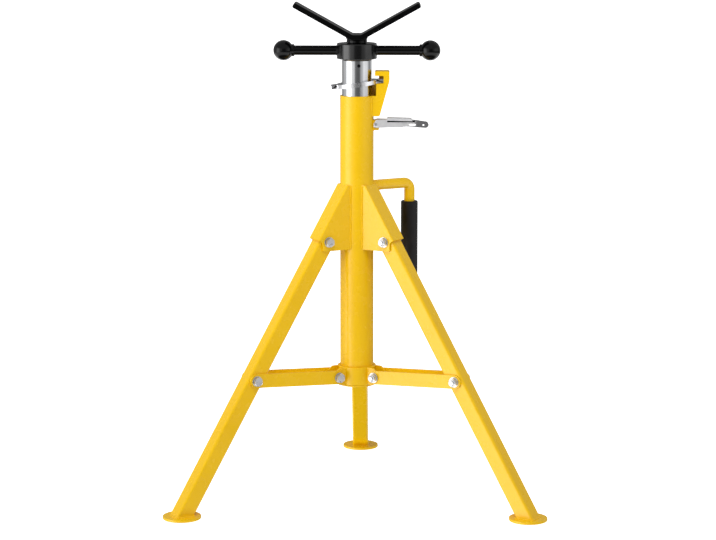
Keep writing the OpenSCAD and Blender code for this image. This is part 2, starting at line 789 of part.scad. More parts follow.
module brace_bars(i) color("#f2b705") {
    end_r = brace_w / 2;
    at_leg(i) translate([collar_x, 0, collar_pivot_z]) rotate([0, -brace_slope, 0])
        for (y = [-brace_out, brace_in]) difference() {
            union() {
                for (x = [0, brace_len]) rod_y(end_r, y, y + brace_t, x);
                translate([0, y, -end_r]) cube([brace_len, brace_t, brace_w]);
            }
            rod_y(bolt_r + pivot_gap, y - cut, y + brace_t + cut, 0);
            rod_y(bolt_r + seat_gap, y - cut, y + brace_t + cut, brace_len);
        }
}

// The back brace's bolt is put in from the other side
module turned_bolt(i) {
    at_leg(i) translate([brace_x, 0, brace_z]) rotate([i == 0 ? 180 : 0, 0, 0]) children();
}

module brace_bolt(i) color("#c9ccd0") {
    turned_bolt(i) {
        rod_y(bolt_r, brace_in, brace_out + washer_t);
        hex_y(brace_out + washer_t, brace_out + washer_t + hex_head_h);
        washer_y(brace_out, brace_out + washer_t, 0, 0);
    }
}

module brace_nut(i) color("#c9ccd0") {
    turned_bolt(i) {
        rod_y(bolt_r, -brace_out - washer_t - nut_h - thread_end, -brace_in);
        pivot_nut(brace_out, 0, 0);
        washer_y(-brace_out - washer_t, -brace_out, 0, 0);
    }
}

post_tube();
post_end_ring();
leg_bracket(0);  // leg_bracket_back
leg_bracket(1);  // leg_bracket_left
leg_bracket(2);  // leg_bracket_right
lock_bracket();
lever_boss();
lever_pin();
handle_bar();
handle_grip();
leg_pivot_bolts();
leg_pivot_nuts();
leg_pivot_washers();
mast_tube();
mast_bushing();
bushing_set_screws();
thrust_washer();
spinner_nut();
spinner_bar(180);  // spinner_bar_left
spinner_bar(0);  // spinner_bar_right
ball_knob(180);  // ball_knob_left
ball_knob(0);  // ball_knob_right
lift_screw();
head_socket();
vee_plate();
lock_plate();
brake_lever();
slide_collar();
collar_bolts();
collar_nuts();
collar_washers();
leg_tube(0);  // leg_tube_back
leg_tube(1);  // leg_tube_left
leg_tube(2);  // leg_tube_right
foot_pad(0);  // foot_pad_back
foot_pad(1);  // foot_pad_left
foot_pad(2);  // foot_pad_right
brace_sleeve(0);  // brace_sleeve_back
brace_sleeve(1);  // brace_sleeve_left
brace_sleeve(2);  // brace_sleeve_right
brace_bars(0);  // brace_bars_back
brace_bars(1);  // brace_bars_left
brace_bars(2);  // brace_bars_right
brace_bolt(0);  // brace_bolt_back
brace_bolt(1);  // brace_bolt_left
brace_bolt(2);  // brace_bolt_right
brace_nut(0);  // brace_nut_back
brace_nut(1);  // brace_nut_left
brace_nut(2);  // brace_nut_right
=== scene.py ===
import math

import bmesh
import bpy
from mathutils import Matrix, Vector


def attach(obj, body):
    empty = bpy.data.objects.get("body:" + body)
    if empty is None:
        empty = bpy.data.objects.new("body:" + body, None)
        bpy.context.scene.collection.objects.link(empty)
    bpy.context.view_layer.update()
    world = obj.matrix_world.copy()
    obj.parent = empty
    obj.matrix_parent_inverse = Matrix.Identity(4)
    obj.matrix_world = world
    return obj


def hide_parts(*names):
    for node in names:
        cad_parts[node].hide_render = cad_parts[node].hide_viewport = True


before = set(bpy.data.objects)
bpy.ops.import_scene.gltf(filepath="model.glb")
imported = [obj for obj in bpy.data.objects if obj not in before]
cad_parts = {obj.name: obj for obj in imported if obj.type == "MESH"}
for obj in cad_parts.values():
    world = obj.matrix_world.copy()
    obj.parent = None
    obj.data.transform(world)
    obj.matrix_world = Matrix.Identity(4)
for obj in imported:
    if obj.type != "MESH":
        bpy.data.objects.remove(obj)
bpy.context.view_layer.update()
collection = bpy.context.scene.collection

# Sizes that the pieces share, as in the stand's source
POST_R, POST_BORE_R, POST_FOOT, POST_TOP = 26.1, 23.3, 178.8, 636.0
MAST_R, MAST_BORE_R, MAST_FOOT, MAST_TOP = 23.0, 19.8, 204.9, 690.9
SPINNER_Z, SPINNER_H, SPINNER_R = 692.6, 24.2, 31.0
SPIN_BAR_Z, SPIN_BAR_R, BALL_REACH, BALL_R = 705.6, 7.5, 113.5, 15.75
SCREW_R, SOCKET_Z, VEE_Z, VEE_T, VEE_W = 12.0, 717.1, 722.9, 8.0, 46.0
VEE_ANGLE, VEE_FLAT, VEE_TIP = 29.0, 8.5, 99.5
LEG_W, LEG_ANGLE, HINGE_X, HINGE_Z = 26.5, 31.3, 58.6, 411.9
GUSSET_IN, GUSSET_T, GUSSET_TOP, GUSSET_FOOT = 14.0, 2.8, 497.9, 397.5
COLLAR_Z, COLLAR_H, COLLAR_R, COLLAR_X, COLLAR_PIVOT_Z = 181.6, 28.3, 30.2, 40.6, 195.4
BRACE_DOWN, BRACE_W, BRACE_T, BRACE_IN = 242.4, 21.5, 3.0, 13.55
BOLT_R, HEX_AF, HEAD_H, NUT_H, WASHER_R, WASHER_T = 4.0, 13.0, 5.3, 6.5, 8.0, 1.5
LEVER_X, LEVER_Z, LEVER_T, LEVER_TIP, LEVER_OUT = 29.2, 590.2, 8.0, 112.4, 9.8
HANDLE_R, HANDLE_REACH, HANDLE_Z, HANDLE_BEND, HANDLE_TURN = 8.3, 94.7, 493.5, 10.5, 30.0
GRIP_R, GRIP_TOP, GRIP_LEN = 13.4, 464.5, 120.0
LOCK_Z, LOCK_T, LOCK_TILT, LOCK_HOLE_R = 654.0, 6.0, 7.5, 23.8
SIDE_GAP, BOSS_GAP, PAD_T, PAD_R = 0.3, 8.6, 4, 29.6
# Two points closer than this are the same point
SAME = 1e-3
LEGS = {"back": 90.0, "left": 210.0, "right": 330.0}

BRACE_X = HINGE_X + BRACE_DOWN * math.sin(math.radians(LEG_ANGLE))
BRACE_Z = HINGE_Z - BRACE_DOWN * math.cos(math.radians(LEG_ANGLE))
BRACE_LEN = math.hypot(BRACE_X - COLLAR_X, BRACE_Z - COLLAR_PIVOT_Z)
BRACE_SLOPE = math.degrees(math.atan2(BRACE_Z - COLLAR_PIVOT_Z, BRACE_X - COLLAR_X))
FOOT_X = HINGE_X + (HINGE_Z - PAD_T) * math.tan(math.radians(LEG_ANGLE))
HOLD_IN = BRACE_IN + BRACE_T
SEAT_R = POST_R - 0.6


# Placing

def turn(axis, degrees):
    return Matrix.Rotation(math.radians(degrees), 4, axis)


def move(x, y, z):
    return Matrix.Translation((x, y, z))


def at_leg(leg):
    return turn("Z", LEGS[leg])


def along_y(x, z, y=0.0, flip=False):
    """Stands a piece made along +Z out along +Y, or along -Y when flipped."""
    return move(x, y, z) @ turn("X", 90 if flip else -90)


# Shaping

def clean(bm):
    """Closes seams and poles and turns every face outward."""
    bmesh.ops.remove_doubles(bm, verts=bm.verts, dist=1e-4)
    bmesh.ops.dissolve_degenerate(bm, dist=1e-5, edges=bm.edges)
    bmesh.ops.recalc_face_normals(bm, faces=bm.faces)
    return bm


def turned(profile, steps=96):
    """Spins a ring of (radius, height) points round the Z axis."""
    bm = bmesh.new()
    verts = [bm.verts.new((r, 0, z)) for r, z in profile]
    edges = [bm.edges.new(pair) for pair in zip(verts, verts[1:])]
    edges.append(bm.edges.new((verts[-1], verts[0])))
    bmesh.ops.spin(
        bm, geom=verts + edges, cent=(0, 0, 0), axis=(0, 0, 1), dvec=(0, 0, 0),
        angle=math.tau, steps=steps, use_merge=True, use_duplicate=False,
    )
    return clean(bm)


def rod(radius, low, high, steps=64):
    """A plain round bar from z = low to z = high."""
    return turned([(0, low), (radius, low), (radius, high), (0, high)], steps)


def pipe(bore_radius, radius, low, high, steps=128):
    """A plain round tube from z = low to z = high."""
    return turned([(bore_radius, low), (radius, low), (radius, high), (bore_radius, high)], steps)


def extruded(bm):
    """Draws every face on and gives back the corners of its far end."""
    grown = bmesh.ops.extrude_face_region(bm, geom=bm.faces[:])["geom"]
    return [g for g in grown if isinstance(g, bmesh.types.BMVert)]


def slab(corners, low, high):
    """Cuts a plate from (x, z, round) corners, lying between y = low and y = high."""
    bm = bmesh.new()
    bm.faces.new([bm.verts.new((x, low, z)) for x, z, _ in corners])
    bmesh.ops.translate(bm, verts=extruded(bm), vec=(0, high - low, 0))
    count = len(corners)
    for i, (x, z, radius) in enumerate(corners):
        if radius <= 0:
            continue
        here = Vector((x, z))
        to_last = Vector(corners[i - 1][:2]) - here
        to_next = Vector(corners[(i + 1) % count][:2]) - here
        half = to_last.angle(to_next) / 2
        round_edges(bm, radius / math.tan(half), 6, lambda e, x=x, z=z: all(
            abs(v.co.x - x) < SAME and abs(v.co.z - z) < SAME for v in e.verts
        ))
    return clean(bm)


def round_edges(bm, width, segments, chosen):
    """Rounds the edges that the test picks."""
    edges = [e for e in bm.edges if chosen(e)]
    if edges:
        bmesh.ops.bevel(
            bm, geom=edges, offset=width, offset_type="OFFSET", affect="EDGES",
            segments=segments, profile=0.5, material=-1, clamp_overlap=True,
        )
    return bm


def pushed(bm, rim, matrix):
    """Draws a ring of edges on to its next place and gives back the new ring."""
    grown = bmesh.ops.extrude_edge_only(bm, edges=rim)["geom"]
    bmesh.ops.transform(bm, matrix=matrix, verts=[g for g in grown if isinstance(g, bmesh.types.BMVert)])
    return [g for g in grown if isinstance(g, bmesh.types.BMEdge) and not g.link_faces[1:]]


def soften(bm, width, segments=3, sharper=32):
    """Rounds every edge that turns by more than sharper degrees."""
    limit = math.radians(sharper)
    return round_edges(bm, width, segments, lambda e: e.is_manifold and e.calc_face_angle(0) > limit)


def cut_level(bm, z, side):
    """Cuts off what lies below z, or above it when side is -1, and leaves the cut open."""
    bmesh.ops.bisect_plane(
        bm, geom=[*bm.verts, *bm.edges, *bm.faces], dist=1e-4, plane_co=(0, 0, z), plane_no=(0, 0, side),
        clear_inner=True, clear_outer=False,
    )


def block(low, high):
    """A box between two corners."""
    bm = bmesh.new()
    bmesh.ops.create_cube(bm, size=1)
    low, high = Vector(low), Vector(high)
    bmesh.ops.scale(bm, vec=high - low, verts=bm.verts)
    bmesh.ops.translate(bm, vec=(low + high) / 2, verts=bm.verts)
    return bm


def placed(bm, matrix):
    bm.transform(matrix)
    return bm


def copied(bm, matrix):
    return placed(bm.copy(), matrix)


def joined(*parts):
    """Puts several shapes in one mesh, and frees them."""
    whole = parts[0]
    for part in parts[1:]:
        mesh = bpy.data.meshes.new("joined")
        part.to_mesh(mesh)
        whole.from_mesh(mesh)
        part.free()
        bpy.data.meshes.remove(mesh)
    return whole


def as_object(bm, name):
    mesh = bpy.data.meshes.new(name)
    bm.to_mesh(mesh)
    bm.free()
    made = bpy.data.objects.new(name, mesh)
    collection.objects.link(made)
    return made


def carved(bm, cutter, how="DIFFERENCE"):
    """Cuts one shape with another and gives the result back."""
    piece, tool = as_object(bm, "carved_piece"), as_object(cutter, "carving_tool")
    cut = piece.modifiers.new("cut", "BOOLEAN")
    cut.operation, cut.solver, cut.object = how, "EXACT", tool
    bpy.context.view_layer.update()
    mesh = bpy.data.meshes.new_from_object(piece.evaluated_get(bpy.context.evaluated_depsgraph_get()))
    result = bmesh.new()
    result.from_mesh(mesh)
    for thing in (piece, tool):
        old = thing.data
        bpy.data.objects.remove(thing)
        bpy.data.meshes.remove(old)
    bpy.data.meshes.remove(mesh)
    bmesh.ops.remove_doubles(result, verts=result.verts, dist=SAME)
    bmesh.ops.dissolve_limit(result, angle_limit=math.radians(0.5), verts=result.verts, edges=result.edges)
    return result


def weld_bead(points, radius, closed=False):
    """A rippled bead of weld that follows a line of points."""
    run, ripple = [], 1.1
    for a, b in zip(points, points[1:] + (points[:1] if closed else [])):
        a, b = Vector(a), Vector(b)
        count = max(1, round((b - a).length / ripple))
        run += [a.lerp(b, i / count) for i in range(count)]
    if not closed:
        run.append(Vector(points[-1]))
    curve = bpy.data.curves.new("bead", "CURVE")
    curve.dimensions, curve.bevel_depth, curve.bevel_resolution = "3D", radius, 2
    curve.use_fill_caps = not closed
    spline = curve.splines.new("POLY")
    spline.points.add(len(run) - 1)
    spline.use_cyclic_u = closed
    for i, (point, place) in enumerate(zip(spline.points, run)):
        point.co = (*place, 1)
        at_end = not closed and i in (0, len(run) - 1)
        point.radius = 0.55 if at_end else 1 + 0.1 * math.cos(i * math.pi * 0.67) + 0.05 * math.sin(i * 1.7)
    line = bpy.data.objects.new("bead", curve)
    collection.objects.link(line)
    bpy.context.view_layer.update()
    mesh = bpy.data.meshes.new_from_object(line.evaluated_get(bpy.context.evaluated_depsgraph_get()))
    bead = bmesh.new()
    bead.from_mesh(mesh)
    bpy.data.objects.remove(line)
    bpy.data.curves.remove(curve)
    bpy.data.meshes.remove(mesh)
    return clean(bead)


def side_seams(half, inset, low, high, radius):
    """Upright welds along a bracket's two cheeks, where they meet the post."""
    x = math.sqrt(POST_R ** 2 - (half + inset) ** 2) + 0.4
    return [weld_bead([(x, s * (half + 0.2), low), (x, s * (half + 0.2), high)], radius) for s in (-1, 1)]


def piece(bm, name, body, nodes, slot, material, crease=38):
    """Stores a finished shape: it rides on its body and stands for its solids."""
    bm.transform(Matrix.Scale(0.001, 4))
    for face in bm.faces:
        face.smooth = True
    made = as_object(bm, name)
    made.data.set_sharp_from_angle(angle=math.radians(crease))
    made.data.materials.append(material)
    even = made.modifiers.new("even_shading", "WEIGHTED_NORMAL")
    even.keep_sharp = True
    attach(made, body)
    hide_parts(*nodes)


# Materials

# Nearly all of a noise lies between these
NOISE_LOW, NOISE_HIGH = 0.3, 0.7


def material_nodes(name):
    material = bpy.data.materials.new(name)
    material.use_nodes = True
    tree = material.node_tree
    shader = tree.nodes["Principled BSDF"]
    place = tree.nodes.new("ShaderNodeTexCoord").outputs["Object"]
    return material, tree, shader, place


def noise(tree, place, scale, detail=3.0, roughness=0.5, stretch=None):
    """Fine or broad variation on a piece, stretched along an axis if asked."""
    if stretch:
        mapping = tree.nodes.new("ShaderNodeMapping")
        mapping.inputs["Scale"].default_value = stretch
        tree.links.new(place, mapping.inputs["Vector"])
        place = mapping.outputs["Vector"]
    node = tree.nodes.new("ShaderNodeTexNoise")
    node.inputs["Scale"].default_value = scale
    node.inputs["Detail"].default_value = detail
    node.inputs["Roughness"].default_value = roughness
    tree.links.new(place, node.inputs["Vector"])
    return node.outputs["Fac"]


def ramp(tree, value, stops):
    """Turns a value into a colour between (position, colour) stops."""
    node = tree.nodes.new("ShaderNodeValToRGB")
    first, last = node.color_ramp.elements
    first.position, first.color = stops[0][0], (*stops[0][1], 1)
    last.position, last.color = stops[-1][0], (*stops[-1][1], 1)
    for position, colour in stops[1:-1]:
        node.color_ramp.elements.new(position).color = (*colour, 1)
    tree.links.new(value, node.inputs["Fac"])
    return node.outputs["Color"]


def ranged(tree, value, low, high, from_low=NOISE_LOW, from_high=NOISE_HIGH):
    """Stretches the usual range of a noise, or another range, to low..high."""
    node = tree.nodes.new("ShaderNodeMapRange")
    node.inputs["From Min"].default_value = from_low
    node.inputs["From Max"].default_value = from_high
    node.inputs["To Min"].default_value = low
    node.inputs["To Max"].default_value = high
    tree.links.new(value, node.inputs["Value"])
    return node.outputs["Result"]


def bump(tree, shader, height, distance, strength=1.0, under=None):
    """Raises the surface by at most distance, in metres, over another bump if asked."""
    node = tree.nodes.new("ShaderNodeBump")
    node.inputs["Strength"].default_value = strength
    node.inputs["Distance"].default_value = distance
    tree.links.new(height, node.inputs["Height"])
    if under:
        tree.links.new(under, node.inputs["Normal"])
    tree.links.new(node.outputs["Normal"], shader.inputs["Normal"])
    return node.outputs["Normal"]


def finish(name, cloud, tones, haze, rough, metal=0.0, ior=None):
    """A material whose colour drifts with the cloud noise and whose roughness with the haze."""
    material, tree, shader, place = material_nodes(name)
    step = (NOISE_HIGH - NOISE_LOW) / (len(tones) - 1)
    stops = [(NOISE_LOW + step * i, tone) for i, tone in enumerate(tones)]
    tree.links.new(ramp(tree, noise(tree, place, *cloud), stops), shader.inputs["Base Color"])
    tree.links.new(ranged(tree, noise(tree, place, *haze), *rough), shader.inputs["Roughness"])
    shader.inputs["Metallic"].default_value = metal
    if ior:
        shader.inputs["IOR"].default_value = ior
    return material, tree, shader, place


def powder_coat():
    """Yellow powder coat: a slightly uneven film with a fine orange-peel skin."""
    material, tree, shader, place = finish(
        "yellow_powder_coat", (14, 4), [(0.89, 0.532, 0.001), (0.91, 0.55, 0.0015), (0.92, 0.561, 0.002)],
        (60, 3), (0.22, 0.30), ior=1.47,
    )
    peel = bump(tree, shader, noise(tree, place, 420, 2), 0.00006, 0.55)
    bump(tree, shader, noise(tree, place, 1500, 2), 0.00002, 0.4, peel)
    return material


def chrome_plate():
    """Polished chrome with faint lengthwise polishing lines and handling haze."""
    material, tree, shader, place = finish(
        "chrome_plate", (22, 4), [(0.60, 0.61, 0.63), (0.70, 0.705, 0.72)],
        (40, 5, 0.6), (0.07, 0.15), metal=1.0,
    )
    bump(tree, shader, noise(tree, place, 260, 3, 0.6, (1, 1, 0.02)), 0.000008, 0.6)
    return material


def zinc_plate(name, light, dark, rough, metal=1.0, worn_from=None):
    """Bright zinc on steel: a cool sheen that clouds slightly, with a brushed grain.

    Past X = worn_from, in metres, handling has polished it.
    """
    material, tree, shader, place = finish(
        name, (70, 5, 0.6), [dark, light], (180, 4, 0.6), (rough - 0.07, rough + 0.07), metal=metal,
    )
    if worn_from:
        split = tree.nodes.new("ShaderNodeSeparateXYZ")
        tree.links.new(place, split.inputs["Vector"])
        along = split.outputs["X"]
        for socket, plain, worn in (("Metallic", metal, 1.0), ("Roughness", rough, 0.14)):
            change = ranged(tree, along, plain, worn, worn_from, worn_from + 0.008)
            tree.links.new(change, shader.inputs[socket])
    grain = bump(tree, shader, noise(tree, place, 900, 3, 0.6, (0.15, 1, 1)), 0.00002, 0.5)
    bump(tree, shader, noise(tree, place, 130, 3), 0.00005, 0.3, grain)
    return material


def black_enamel(name, ior):
    """Gloss black enamel, a little uneven where it was sprayed."""
    material, tree, shader, place = finish(
        name, (30, 4), [(0.001, 0.001, 0.0012), (0.0025, 0.0025, 0.0028)], (90, 3), (0.13, 0.20), ior=ior,
    )
    bump(tree, shader, noise(tree, place, 500, 2), 0.00004, 0.4)
    return material


def ball_plastic():
    """Moulded black plastic, polished, with a faint flow in the surface."""
    material, tree, shader, place = finish(
        "black_ball_plastic", (50, 3), [(0.001, 0.001, 0.0012), (0.0025, 0.0025, 0.003)],
        (120, 3), (0.08, 0.14), ior=1.33,
    )
    bump(tree, shader, noise(tree, place, 260, 2), 0.00002, 0.5)
    return material


def grip_rubber():
    """Dipped black rubber with a dull sheen and a fine pebbled skin."""
    material, tree, shader, place = finish(
        "grip_rubber_black", (90, 4), [(0.004, 0.0036, 0.004), (0.009, 0.008, 0.0088)],
        (150, 3), (0.42, 0.56), ior=1.36,
    )
    skin = bump(tree, shader, noise(tree, place, 2200, 2), 0.00006, 0.6)
    bump(tree, shader, noise(tree, place, 120, 2), 0.0001, 0.3, skin)
    return material


def machined_steel(name, light, dark, rough):
    """Turned steel with rings left by the tool, lightly oiled."""
    material, tree, shader, place = finish(
        name, (60, 5, 0.6), [dark, light], (300, 3), (rough - 0.06, rough + 0.08), metal=1.0,
    )
    bump(tree, shader, noise(tree, place, 1500, 3, 0.6, (0.05, 0.05, 1)), 0.00002, 0.6)
    return material


YELLOW = powder_coat()
CHROME = chrome_plate()
ZINC = zinc_plate("bright_zinc_plate", (0.80, 0.80, 0.82), (0.66, 0.67, 0.70), 0.30)
LOCK_ZINC = zinc_plate("lock_plate_zinc", (0.90, 0.90, 0.92), (0.80, 0.80, 0.83), 0.22)
SATIN = zinc_plate(
    "satin_lever_plate", (0.86, 0.86, 0.87), (0.74, 0.74, 0.76), 0.36, metal=0.45, worn_from=0.086,
)
ENAMEL = black_enamel("gloss_black_enamel", ior=1.28)
NUT_ENAMEL = black_enamel("polished_black_enamel", ior=1.6)
BALLS = ball_plastic()
RUBBER = grip_rubber()
SCREW_STEEL = machined_steel("screw_steel", (0.46, 0.47, 0.48), (0.30, 0.31, 0.32), 0.32)
BLACK_OXIDE = machined_steel("black_oxide_steel", (0.030, 0.030, 0.033), (0.015, 0.015, 0.017), 0.4)
BRONZE = machined_steel("bearing_bronze", (0.24, 0.19, 0.13), (0.15, 0.12, 0.08), 0.38)


# Fasteners, made once along +Z and copied to their places

def hex_prism(height, chamfer_low):
    """A hexagon whose corners are turned back on a lathe, as on real heads and nuts."""
    bm = bmesh.new()
    bmesh.ops.create_circle(bm, cap_ends=True, segments=6, radius=HEX_AF / 2 / math.cos(math.pi / 6))
    bmesh.ops.translate(bm, verts=extruded(bm), vec=(0, 0, height))
    clean(bm)
    flat, corner = HEX_AF / 2 - 0.2, HEX_AF / 2 / math.cos(math.pi / 6) + 0.4
    drop = (corner - flat) * math.tan(math.radians(28))
    profile = [(0, 0), (flat, 0), (corner, drop)] if chamfer_low else [(0, 0), (corner, 0)]
    profile += [(corner, height - drop), (flat, height), (0, height)]
    return soften(carved(bm, turned(profile, 72), "INTERSECT"), 0.14, 2, 24)


def threaded_shank(length, threads_end):
    """A rod with a chamfered low end and thread rings from there to threads_end."""
    pitch, start = 1.25, 0.9
    profile = [(0, 0), (BOLT_R - 0.9, 0), (BOLT_R - 0.15, 0.8)]
    z = start
    while z + pitch < threads_end:
        profile += [(BOLT_R - 0.55, z), (BOLT_R - 0.02, z + 0.5), (BOLT_R - 0.02, z + 0.66)]
        z += pitch
    return turned(profile + [(BOLT_R, length), (0, length)], 48)


def washer():
    return soften(pipe(BOLT_R + 0.1, WASHER_R, 0, WASHER_T, 64), 0.22, 2)


def bolt_head():
    """Head with the thin round face that bears on the washer."""
    face = rod(5.9, 0, 0.35)
    return joined(placed(hex_prism(HEAD_H - 0.3, False), move(0, 0, 0.3)), face)


def lock_nut():
    """Nut with a rolled collar that holds its nylon ring."""
    bore = BOLT_R + 0.15
    collar = soften(turned([
        (bore, NUT_H - 2.4), (5.9, NUT_H - 2.4), (5.7, NUT_H - 0.5), (5.1, NUT_H), (bore, NUT_H),
    ], 64), 0.3, 3, 20)
    return joined(hex_prism(NUT_H - 1.9, True), collar)


HEAD, NUT, WASHER = bolt_head(), lock_nut(), washer()


def head_end(x, z, face, stub_from):
    """Washer, head and shank outside y = face, reaching back to stub_from."""
    put = along_y(x, z, face)
    shank = rod(BOLT_R, stub_from - face, 0.4, 48)
    return [
        copied(WASHER, put),
        placed(joined(copied(HEAD, move(0, 0, WASHER_T)), shank), put),
    ]


def nut_end(x, z, face, stub_from):
    """Washer, nut and threaded end outside y = -face, reaching back to -stub_from."""
    put = along_y(x, z, -face, flip=True)
    tip = WASHER_T + NUT_H + 2
    length = tip + face - stub_from
    shank = placed(threaded_shank(length, length - 2), move(0, 0, tip) @ turn("X", 180))
    return [copied(WASHER, put), copied(NUT, put @ move(0, 0, WASHER_T)), placed(shank, put)]


def pivot_set(x, z, face, body, name, nodes):
    """The three legs' bolts, nuts and washers, through x and z of each leg's own frame."""
    bolts, nuts, washers = [], [], []
    for leg in LEGS:
        ring, head = head_end(x, z, face, 0)
        other, nut, tip = nut_end(x, z, face, 0)
        bolts += [placed(joined(head, tip), at_leg(leg))]
        nuts += [placed(nut, at_leg(leg))]
        washers += [placed(joined(ring, other), at_leg(leg))]
    for kind, shapes, node in zip(("bolts", "nuts", "washers"), (bolts, nuts, washers), nodes):
        piece(joined(*shapes), f"{name}_{kind}", body, [node], "zinc_steel", ZINC)


# Post and what is fixed to it

def make_post():
    """Tube with the brake lever's window, and the ring that stops the collar at its foot."""
    half_y, half_z, ring_h = BOSS_GAP / 2, 6.5, 2.7
    window = block((POST_BORE_R - 6, -half_y, LEVER_Z - half_z), (POST_R + 2, half_y, LEVER_Z + half_z))
    tube = carved(soften(pipe(POST_BORE_R, POST_R, POST_FOOT, POST_TOP), 0.5), window)
    piece(tube, "painted_post_tube", "post", ["post_tube"], "yellow_paint", YELLOW)
    ring = soften(pipe(POST_R, COLLAR_R - 0.5, POST_FOOT, POST_FOOT + ring_h), 0.6)
    piece(ring, "painted_end_ring", "post", ["post_end_ring"], "yellow_paint", YELLOW)


def make_leg_bracket(leg):
    """Sheet folded to a channel: its two long edges are bent, the rest are cut."""
    slope = math.radians(LEG_ANGLE)
    web_out, web_down = LEG_W / 2 + 2 * SIDE_GAP + GUSSET_T, 6.0
    web_x = HINGE_X + web_out * math.cos(slope) + web_down * math.sin(slope)
    web_z = HINGE_Z + web_out * math.sin(slope) - web_down * math.cos(slope)
    top_x = web_x - (GUSSET_TOP - web_z) * math.tan(slope)
    wall_x = GUSSET_T / math.cos(slope)
    half, root, edge = GUSSET_IN + GUSSET_T, 17.4, HINGE_X + 10.4
    outside = slab([
        (root, GUSSET_FOOT, 0), (edge, GUSSET_FOOT, 3), (edge, HINGE_Z, 6),
        (web_x, web_z, 0), (top_x, GUSSET_TOP, 0), (root, GUSSET_TOP, 0),
    ], -half, half)
    folds = (Vector((web_x, 0, web_z)), Vector((top_x, 0, GUSSET_TOP)))

    def on_fold(e):
        ends = [Vector((v.co.x, 0, v.co.z)) for v in e.verts]
        return abs(e.verts[0].co.y - e.verts[1].co.y) < SAME and all(
            min((p - f).length for f in folds) < 1e-2 for p in ends
        ) and (ends[0] - ends[1]).length > 1

    round_edges(outside, 2.0, 5, on_fold)
    up = web_z + (web_x - wall_x - root + 6) / math.tan(slope)
    inside = slab([
        (root - 6, GUSSET_FOOT - 5, 0), (web_x + 5, GUSSET_FOOT - 5, 0), (web_x + 5, web_z, 0),
        (web_x - wall_x, web_z, 0), (root - 6, up, 0),
    ], -GUSSET_IN, GUSSET_IN)
    channel = carved(carved(outside, inside), rod(SEAT_R, GUSSET_FOOT - 17.5, GUSSET_TOP + 12.1, 96))
    soften(channel, 0.4, 2, 40)
    beads = side_seams(half, 0.5, GUSSET_FOOT + 1.5, GUSSET_TOP - 1, 1.3)
    whole = placed(joined(channel, *beads), at_leg(leg))
    piece(whole, f"painted_bracket_{leg}", "post", [f"leg_bracket_{leg}"], "yellow_paint", YELLOW)


def make_lock_bracket():
    """Sheet folded to a channel with a hook on top: its near cheek is cut back further."""
    notch, over, back, foot_x = 36.0, 28.1, 50.6, 35.5
    foot_z, hook_top, hook_under, shelf = 604.4, 674.2, 667.1, 655.5
    back_z, half, inner, wall, in_post = hook_top - 15.5, 12.5, 9.5, 3.0, 18

    def cheeks(edge_x, notch_end, low, high):
        edge_z = shelf - (notch - edge_x) * math.tan(math.radians(LOCK_TILT)) - 0.1
        turn_x = min(notch_end, notch)
        return slab([
            (in_post, foot_z, 0), (foot_x, foot_z, 3), (back, back_z, 8), (back, hook_top, 2.5),
            (over, hook_top, 1.5), (over, hook_under, 1), (notch_end, hook_under, 1.5),
            (notch_end, shelf - (0 if notch_end > notch else 0.3), 0.3), (turn_x - 0.3, shelf - 0.3, 0),
            (edge_x, edge_z, 1.5), (edge_x, POST_TOP, 0), (in_post, POST_TOP, 0),
        ], low, high)

    lean = math.hypot(back - foot_x, back_z - foot_z) / (back_z - foot_z)
    inside = slab([
        (10, foot_z - 4, 0), (foot_x - wall * lean, foot_z - 4, 0), (foot_x - wall * lean, foot_z, 0),
        (back - wall, back_z, 5), (back - wall, hook_top - wall, 1), (10, hook_top - wall, 0),
    ], -inner, inner)

    def on_back(e):
        a, b = (v.co for v in e.verts)
        return abs(a.y - b.y) < SAME and abs(abs(a.y) - half) < SAME and min(
            p.x - foot_x - (p.z - foot_z) * (back - foot_x) / (back_z - foot_z) for p in (a, b)
        ) > -3 and min(a.z, b.z) > foot_z + 1

    near, far = cheeks(30.0, notch + 5.6, -half, 0), cheeks(22.4, notch - 2.0, 0, half)
    for shape in (near, far):
        round_edges(shape, 2.0, 4, lambda e: on_back(e) and e.is_manifold and e.calc_face_angle(0) > 1)
    hook = carved(carved(near, far, "UNION"), inside)
    hook = carved(hook, rod(SEAT_R, foot_z - 9, POST_TOP + 0.5, 96))
    shelf_bar = soften(block((notch, -inner - 0.2, shelf - wall), (notch + 3, inner + 0.2, shelf)), 0.4)
    beads = side_seams(half, 0.4, foot_z + 1.5, POST_TOP - 1.5, 1.2)
    whole = joined(hook, shelf_bar, *beads)
    piece(whole, "painted_lock_bracket", "post", ["lock_bracket"], "yellow_paint", YELLOW)


